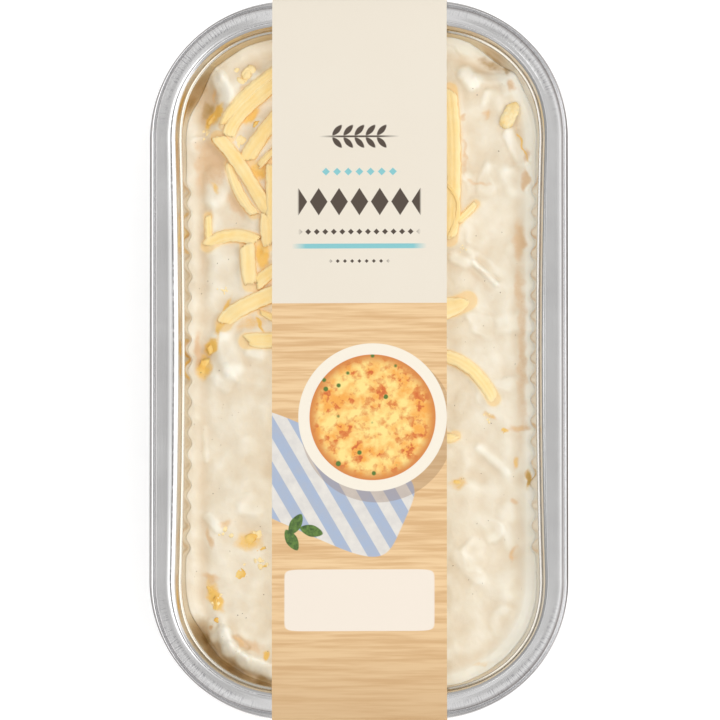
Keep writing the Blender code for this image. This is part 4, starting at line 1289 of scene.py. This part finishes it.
def all_routes():
    """Every shred's route in metres, the ones in the open first."""
    routes = []
    for start, middle, end, *sizes in SHREDS:
        ends = [(place[0] * MM, place[1] * MM) for place in (start, middle, end)]
        routes.append((*ends, *(size * MM for size in sizes)))
    return routes + heap_routes()


# Points of a shred's section, its steps, its torn edges and the one shred that narrows like a wedge
SHRED_TOP = 17
SHRED_UNDER = 5
SHRED_FINE_STEP = 0.5 * MM
FRAY_DEPTH = 0.24 * MM
CRUMBLE_DEPTH = 0.07 * MM
WEDGE = 17
WEDGE_NARROWING = 0.4


def shred_section(width, thick, ridges, dice):
    """A shred's section: (across, up, share of edge, which frays and takes a painted highlight, share of
    painted shade in the grooves, share of side, which takes painted golden shade).
    """
    section = []
    phase = dice.uniform(0, math.tau)
    for step in range(SHRED_TOP):
        share = -1 + 2 * step / (SHRED_TOP - 1)
        wave = math.cos(math.pi * ridges * share + phase)
        up = thick / 2 * (0.86 - 0.5 * abs(share) ** 4) + 0.03 * thick * wave
        edge = float(smooth_share((abs(share) - 0.55) / 0.35))
        section.append((share * width / 2 * 0.95, up, edge, (0.5 - 0.5 * wave) * (1 - edge), 0.0))
    section.append((width / 2, 0.0, 1.0, 0.0, 0.7))
    for step in range(SHRED_UNDER):
        share = 1 - 2 * step / (SHRED_UNDER - 1)
        section.append((share * width / 2 * 0.97, -thick / 2, 0.0, 0.0, 1.0))
    section.append((-width / 2, 0.0, 1.0, 0.0, 0.7))
    return section


def make_shreds(material):
    """Grated cheese: bent ridged strips with ragged ends, lying as the solid's strips do."""
    dice = random.Random(12)
    # Without a seed of its own, noise_vector would change with the clock
    noise.seed_set(12)
    points, faces, marks, painted_shred_light = [], [], [], []
    for number, (start, middle, end, width, lift_start, lift_end) in enumerate(all_routes()):
        narrowing = WEDGE_NARROWING if number == WEDGE else 0.0
        reach = math.dist(start, middle) + math.dist(middle, end)
        steps = max(12, round(reach / SHRED_FINE_STEP))
        shares = np.linspace(0, 1, steps + 1)
        line, run = bent_line(start, middle, end, shares)
        knots = np.linspace(0, 1, max(2, round(reach / SHRED_STEP)) + 1)
        knot_line, _ = bent_line(start, middle, end, knots)
        knot_height = sauce_base(knot_line[:, 0], knot_line[:, 1])
        knot_height += lift_start + (lift_end - lift_start) * knots
        height = np.interp(shares, knots, knot_height)
        height = np.convolve(np.pad(height, 2, mode="edge"), np.ones(5) / 5, mode="valid")
        section = shred_section(width, SHRED_THICK, dice.choice((1.5, 2, 2, 3)), dice)
        tone = dice.random()
        twist = dice.uniform(-0.16, 0.16)
        ragged = [dice.uniform(-0.35, 0.45) * MM for _ in range(2 * len(section))]
        cut = random.Random(100 + number)
        slants = (cut.uniform(-0.8, 0.8), cut.uniform(-0.8, 0.8))
        base = len(points)
        for step in range(steps + 1):
            t = step / steps
            from_end = min(t, 1 - t) * reach
            swell = 1 - 0.3 * math.exp(-from_end / (0.9 * MM)) + narrowing * (1 - 2 * t)
            wobble = 1 + 0.10 * noise.noise(Vector((t * reach / (3.2 * MM), tone * 40, 0.0)))
            frays = []
            for side in (-1, 1):
                fray = noise.noise(Vector((t * reach / (1.3 * MM), tone * 90, side * 3.3)))
                fray += 0.6 * noise.noise(Vector((t * reach / (0.6 * MM), tone * 50, side * 1.7)))
                frays.append(side * FRAY_DEPTH * fray)
            lean = twist * (2 * t - 1)
            skirt = max(0.0, lift_start + (lift_end - lift_start) * t - 0.5 * MM) * 0.9
            for corner, (across, up, edge, groove_shade, low_side) in enumerate(section):
                wide = across * swell * wobble + frays[across > 0] * edge
                tall = up * (1 - 0.35 * math.exp(-from_end / (0.5 * MM)))
                tall -= skirt * float(low_side == 1.0)
                side = wide * math.cos(lean) - tall * math.sin(lean)
                rise = wide * math.sin(lean) + tall * math.cos(lean)
                push = ragged[corner] if step == 0 else 0.0
                push = ragged[corner + len(section)] if step == steps else push
                push += slants[t > 0.5] * wide * math.exp(-from_end / (1.6 * MM))
                x = line[step, 0] - run[step, 1] * side + run[step, 0] * push
                y = line[step, 1] + run[step, 0] * side + run[step, 1] * push
                z = min(height[step] + rise, TOP_LIMIT)
                crumble = noise.noise_vector(Vector((x, y, z)) / (1.4 * MM)) * CRUMBLE_DEPTH
                points.append((x + crumble.x, y + crumble.y, z + crumble.z + RIM_HEIGHT))
                marks.append((t * reach, across, tone))
                # Ends take the edges' painted highlight, and lose the painted shade of the grooves
                end_share = math.exp(-from_end / (0.4 * MM))
                painted_shred_light.append((max(edge, end_share), groove_shade * (1 - end_share), low_side))
        faces += grid_faces(steps + 1, len(section), start=base)
        last = base + steps * len(section)
        faces.append(tuple(range(base + len(section) - 1, base - 1, -1)))
        faces.append(tuple(range(last, last + len(section))))
    piece = new_piece("cheese_shreds", points, faces, material)
    store(piece, "shred_place", marks)
    store(piece, "shred_light_and_shade", painted_shred_light)


# Crumbs of cheese in mm: x, y, reach in x and y, how many, largest size
CRUMB_FIELDS = (
    (-34.6, 87.6, 3.0, 2.4, 12, 4.0),
    (-34.6, 86.6, 2.8, 2.2, 12, 1.5),
    (-37.2, 67.4, 2.8, 1.7, 14, 3.4),
    (-47.0, 70.6, 1.3, 1.6, 6, 1.8),
    (-46.2, 38.2, 1.4, 0.9, 4, 1.3),
    (-41.6, 22.2, 1.5, 1.2, 9, 1.2),
    (-31.6, 21.0, 3.0, 1.6, 7, 1.3),
    (-31.5, 66.5, 3.4, 4.6, 14, 1.7),
    (31.4, 34.2, 1.4, 1.8, 6, 0.9),
    (28.6, -23.0, 2.0, 2.0, 7, 1.2),
    (-31.6, -61.6, 3.4, 1.8, 7, 2.4),
    (-31.0, -52.6, 1.4, 1.2, 3, 3.0),
    (-40.6, -53.0, 2.4, 2.4, 4, 2.2),
    (38.8, -17.4, 2.3, 1.2, 5, 1.2),
    (-43.6, -74.0, 1.6, 3.6, 5, 1.6),
)


def lump_points(middle, size, turn, corners, dice):
    """Corners of an angular lump, on a turned ellipsoid."""
    found = []
    for _ in range(corners):
        way = Vector((dice.gauss(0, 1), dice.gauss(0, 1), dice.gauss(0, 1))).normalized()
        x, y, z = (way[axis] * size[axis] / 2 for axis in range(3))
        turned_x = x * math.cos(turn) - y * math.sin(turn)
        turned_y = x * math.sin(turn) + y * math.cos(turn)
        found.append((middle[0] + turned_x, middle[1] + turned_y, middle[2] + z))
    return found


def lump_mesh(corners, cuts, roughness, rounding=0.35, length=0.9 * MM):
    """An angular lump as points and faces: the hull of its corners, cut finer and roughened."""
    shape = bmesh.new()
    for corner in corners:
        shape.verts.new(corner)
    hull = bmesh.ops.convex_hull(shape, input=shape.verts)
    inner = [part for part in hull["geom_interior"] if isinstance(part, bmesh.types.BMVert)]
    bmesh.ops.delete(shape, geom=inner, context="VERTS")
    if cuts:
        bmesh.ops.subdivide_edges(
            shape, edges=shape.edges, cuts=cuts, use_grid_fill=True, smooth=rounding
        )
        bmesh.ops.triangulate(shape, faces=shape.faces)
        shape.normal_update()
        for vertex in shape.verts:
            bump = noise.noise(vertex.co / length) + 0.5 * noise.noise(vertex.co / (0.45 * length))
            vertex.co += vertex.normal * bump * roughness
    shape.verts.index_update()
    points = [tuple(vertex.co) for vertex in shape.verts]
    faces = [tuple(vertex.index for vertex in face.verts) for face in shape.faces]
    shape.free()
    return points, faces


def join_lumps(lumps):
    """Several lumps as one list of points and one of faces."""
    points, faces = [], []
    for some_points, some_faces in lumps:
        base = len(points)
        points += some_points
        faces += [tuple(base + at for at in face) for face in some_faces]
    return points, faces


def surface_z(x, y):
    """Height of the finished sauce in the frame at one place."""
    return float(sauce_height(np.array([x]), np.array([y]))[0]) + RIM_HEIGHT


def make_crumbs(material):
    """Crumbs and broken ends of cheese, in small groups on the sauce."""
    dice = random.Random(5)
    lumps = []
    for x, y, reach_x, reach_y, count, largest in CRUMB_FIELDS:
        for _ in range(count):
            place_x = (x + dice.gauss(0, 0.5) * reach_x) * MM
            place_y = (y + dice.gauss(0, 0.5) * reach_y) * MM
            long = dice.uniform(0.4, 1.0) * largest * MM
            size = (long, long * dice.uniform(0.5, 0.9), long * dice.uniform(0.3, 0.45))
            middle = (place_x, place_y, surface_z(place_x, place_y) - 0.04 * size[2])
            corners = lump_points(middle, size, dice.uniform(0, math.pi), 18, dice)
            lumps.append(lump_mesh(corners, 2, 0.06 * MM, rounding=0.2))
    points, faces = join_lumps(lumps)
    piece = new_piece("cheese_crumbs", points, faces, material)
    store(piece, "shred_place", [(point[0] + point[1], point[0], 0.9) for point in points])
    # Every crumb takes half of the shreds' painted edge highlight
    store(piece, "shred_light_and_shade", [(0.5, 0.0, 0.0) for _ in points])


# Potato

CHUNK_PLACE = (45.7 * MM, 75.3 * MM)
CHUNK_SIZE = (5.2 * MM, 9.4 * MM, 4.0 * MM)
CHUNK_TURN = math.radians(-28.0)


def make_chunk(material):
    """The loose piece of potato, with the same corners as the solid and a crumbly skin."""
    base = float(sauce_base(np.array([CHUNK_PLACE[0]]), np.array([CHUNK_PLACE[1]]))[0])
    middle = (*CHUNK_PLACE, RIM_HEIGHT + base + 0.3 * CHUNK_SIZE[2])
    corners = lump_points(middle, CHUNK_SIZE, CHUNK_TURN, 26, random.Random(7))
    points, faces = lump_mesh(corners, 5, 0.25 * MM, rounding=0.08, length=1.2 * MM)
    piece = new_piece("potato_chunk", points, faces, material)
    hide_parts("potato_piece")


def make_potato_bits(material):
    """Potato that shows where the sauce is thin: angular bits, most of each one sunk."""
    dice = random.Random(23)
    lumps = []
    for x, y, long, wide, tall, turn, lift in POTATO_BITS:
        x, y = x * MM, y * MM
        middle = (x, y, surface_z(x, y) + (0.7 * lift - 0.2 * tall) * MM)
        size = (long * MM, wide * MM, 0.6 * tall * MM)
        corners = lump_points(middle, size, math.radians(turn), 11, dice)
        lumps.append(lump_mesh(corners, 4, 0.24 * MM, rounding=0.04))
    points, faces = join_lumps(lumps)
    new_piece("potato_bits", points, faces, material)


PEPPER_FLAKES = 110


def make_pepper(material):
    """Flakes of ground pepper on the sauce beside the sleeve."""
    dice = random.Random(77)
    lumps = []
    while len(lumps) < PEPPER_FLAKES:
        x = dice.choice((-1, 1)) * dice.uniform(27.5, 52.0) * MM
        y = dice.uniform(-96.0, 96.0) * MM
        if inset_of(np.array([x]), np.array([y]))[0] < wall_inset(SAUCE_LEVEL) + 1.5 * MM:
            continue
        long = dice.uniform(0.22, 0.5) * MM
        size = (long, long * dice.uniform(0.5, 0.9), 0.14 * MM)
        middle = (x, y, surface_z(x, y) + 0.01 * MM)
        corners = lump_points(middle, size, dice.uniform(0, math.pi), 10, dice)
        lumps.append(lump_mesh(corners, 0, 0.0))
    points, faces = join_lumps(lumps)
    new_piece("pepper_flakes", points, faces, material)


# Card sleeve


def sleeve_line(spare):
    """Right half of the card's section as (y, z), spare outside the card's inner face."""
    bead_y = TRAY_LENGTH / 2 - BEAD_RADIUS
    bead_z = RIM_HEIGHT + BEAD_CENTRE
    line = []
    bend_from = bead_y - SLEEVE_BEND
    for step in range(30):
        line.append((bend_from * step / 30, RIM_HEIGHT + SLEEVE_CROWN + spare))
    for step in range(14):
        share = step / 14
        z = RIM_HEIGHT + SLEEVE_CROWN - SLEEVE_DROP * share**2
        line.append((bend_from + share * SLEEVE_BEND, z + spare))
    reach = FOLD_RADIUS + spare
    slope = math.atan2(bead_y + FOLD_RADIUS - SLEEVE_FOOT, bead_z)
    for step in range(15):
        angle = FOLD_BEGINS - (FOLD_BEGINS + slope) * step / 14
        line.append((bead_y + reach * math.cos(angle), bead_z + reach * math.sin(angle)))
    foot_y = SLEEVE_FOOT - FOLD_RADIUS
    foot_z = CARD + FOLD_RADIUS
    for step in range(9):
        angle = -slope - (math.pi / 2 - slope) * step / 8
        line.append((foot_y + reach * math.cos(angle), foot_z + reach * math.sin(angle)))
    for step in range(1, 21):
        line.append((foot_y * (1 - step / 20), CARD - spare))
    return line


def make_sleeve(print_finish, edge_finish):
    """The loop of card, printed outside, plain inside, with white cut edges."""
    columns = 9
    points, marks, faces = [], [], []
    for spare, outside in ((0.0, 0.0), (CARD, 1.0)):
        half = sleeve_line(spare)
        loop = np.array(half + [(-y, z) for y, z in reversed(half[1:-1])])
        steps = np.linalg.norm(np.diff(loop, axis=0), axis=1)
        run = np.concatenate(([0.0], np.cumsum(steps)))
        round_trip = run[-1] + np.linalg.norm(loop[0] - loop[-1])
        run[run > round_trip / 2] -= round_trip
        count = len(loop)
        for column in range(columns):
            share = -1 + 2 * column / (columns - 1)
            x = share * SLEEVE_WIDTH / 2
            for (y, z), along in zip(loop, run):
                points.append((x, y, z))
                marks.append((x, along, outside))
    for skin in (0, columns * count):
        faces += grid_faces(columns, count, start=skin)
    side_faces = len(faces)
    for column in (0, columns - 1):
        inner, outer = column * count, (columns + column) * count
        for at in range(count):
            after = (at + 1) % count
            faces.append((inner + at, inner + after, outer + after, outer + at))
    piece = new_piece("card_sleeve", points, faces, print_finish)
    piece.data.materials.append(edge_finish)
    for number, face in enumerate(piece.data.polygons):
        face.material_index = 1 if number >= side_faces else 0
    piece.data.set_sharp_from_angle(angle=math.radians(50))
    store(piece, "card_place", marks)
    piece.visible_shadow = False
    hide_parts("sleeve")


# Floor, lights and camera

FLOOR_HALF = 3.0
FLOOR_GLOW = 0.42


def make_floor():
    """A plain pale floor that the sleeve's underside rests on."""
    corners = [(x * FLOOR_HALF, y * FLOOR_HALF, 0.0) for x, y in ((-1, -1), (1, -1), (1, 1), (-1, 1))]
    mesh = bpy.data.meshes.new("studio_floor")
    mesh.from_pydata(corners, [], [(0, 1, 2, 3)])
    material, tree, shader = new_finish("pale_floor")
    mottle = use_group(tree, MOTTLE, Place=object_place(tree), Size=0.4, Contrast=0.3)[0]
    colour = blend_colour(tree, mottle, srgb(250, 250, 250), srgb(247, 247, 247))
    tree.links.new(colour, shader.inputs["Base Color"])
    shader.inputs["Roughness"].default_value = 0.8
    shader.inputs["Emission Color"].default_value = (1.0, 1.0, 1.0, 1.0)
    shader.inputs["Emission Strength"].default_value = FLOOR_GLOW
    mesh.materials.append(material)
    floor = bpy.data.objects.new("studio_floor", mesh)
    bpy.context.scene.collection.objects.link(floor)


# Soft boxes overhead that face straight down, in metres: name, from and to in x, in y, radiance
BOX_HEIGHT = 1.0
SOFT_BOXES = (
    ("key_right", (0.32, 1.4), (-0.7, 0.7), 1.76),
    ("key_edge", (0.12, 0.32), (-0.7, 0.7), 0.42),
    ("left_overhead", (-0.7, -0.22), (-0.7, 0.7), 1.4),
    ("far_end", (-0.2, 0.2), (0.22, 1.0), 0.3),
    ("near_end", (-0.2, 0.1), (-0.9, -0.04), 0.3),
)
SKY = 0.54
SKY_LOW_LEFT = 0.34
SKY_LOW_RIGHT = 0.7


def make_lights():
    """Soft boxes overhead and a grey sky, darker low on the left, which the flange mirrors."""
    for name, (left, right), (near, far), radiance in SOFT_BOXES:
        light = bpy.data.lights.new(name, "AREA")
        light.shape = "RECTANGLE"
        light.size = right - left
        light.size_y = far - near
        light.energy = radiance * math.pi * (right - left) * (far - near)
        lamp = bpy.data.objects.new(name, light)
        lamp.location = ((left + right) / 2, (near + far) / 2, BOX_HEIGHT)
        bpy.context.scene.collection.objects.link(lamp)
    world = bpy.data.worlds.new("grey_sky")
    world.use_nodes = True
    tree = world.node_tree
    background = tree.nodes["Background"]
    way = add_node(tree, "ShaderNodeTexCoord").outputs["Generated"]
    to_right = add_node(tree, "ShaderNodeSeparateXYZ", {0: way}).outputs[0]
    strength = remap(tree, to_right, -0.9, -0.2, SKY_LOW_LEFT, SKY)
    strength = calc(tree, "ADD", strength, remap(tree, to_right, 0.76, 0.82, 0.0, SKY_LOW_RIGHT))
    tree.links.new(strength, background.inputs["Strength"])
    background.inputs["Color"].default_value = (1.0, 0.985, 0.965, 1.0)
    bpy.context.scene.world = world


CAMERA_LENS = 800.0
CAMERA_SENSOR = 36.0
CAMERA_DISTANCE = 4.867
CAMERA_AIM = (0.15 * MM, -0.4 * MM)
TILT_TO_NEAR_END = math.radians(5.8)
TILT_TO_RIGHT = math.radians(2.0)


def make_camera():
    """A long lens far above the tray, leaning a little to the near end and to the right."""
    back = Vector((math.tan(TILT_TO_RIGHT), -math.tan(TILT_TO_NEAR_END), 1.0)).normalized()
    target = Vector((*CAMERA_AIM, RIM_HEIGHT))
    side = Vector((0.0, 1.0, 0.0)).cross(back).normalized()
    up = back.cross(side)
    camera = bpy.data.cameras.new("camera")
    camera.lens = CAMERA_LENS
    camera.sensor_width = CAMERA_SENSOR
    holder = bpy.data.objects.new("camera", camera)
    holder.matrix_world = Matrix.Translation(target + back * CAMERA_DISTANCE) @ Matrix(
        (side, up, back)
    ).transposed().to_4x4()
    bpy.context.scene.collection.objects.link(holder)
    bpy.context.scene.camera = holder


def main():
    """Makes every piece, then the floor, the lights and the camera."""
    make_camera()
    cheese = cheese_finish()
    make_tray(foil_finish())
    make_sauce(sauce_finish())
    make_shreds(cheese)
    make_crumbs(cheese)
    make_chunk(potato_finish("loose_potato", srgb(255, 239, 194), srgb(255, 222, 152)))
    make_potato_bits(potato_finish("sunk_potato", srgb(248, 213, 130), srgb(243, 191, 90)))
    make_pepper(pepper_finish())
    make_sleeve(card_finish(), card_edge_finish())
    make_floor()
    make_lights()
    bpy.context.scene.view_settings.view_transform = "Standard"


main()
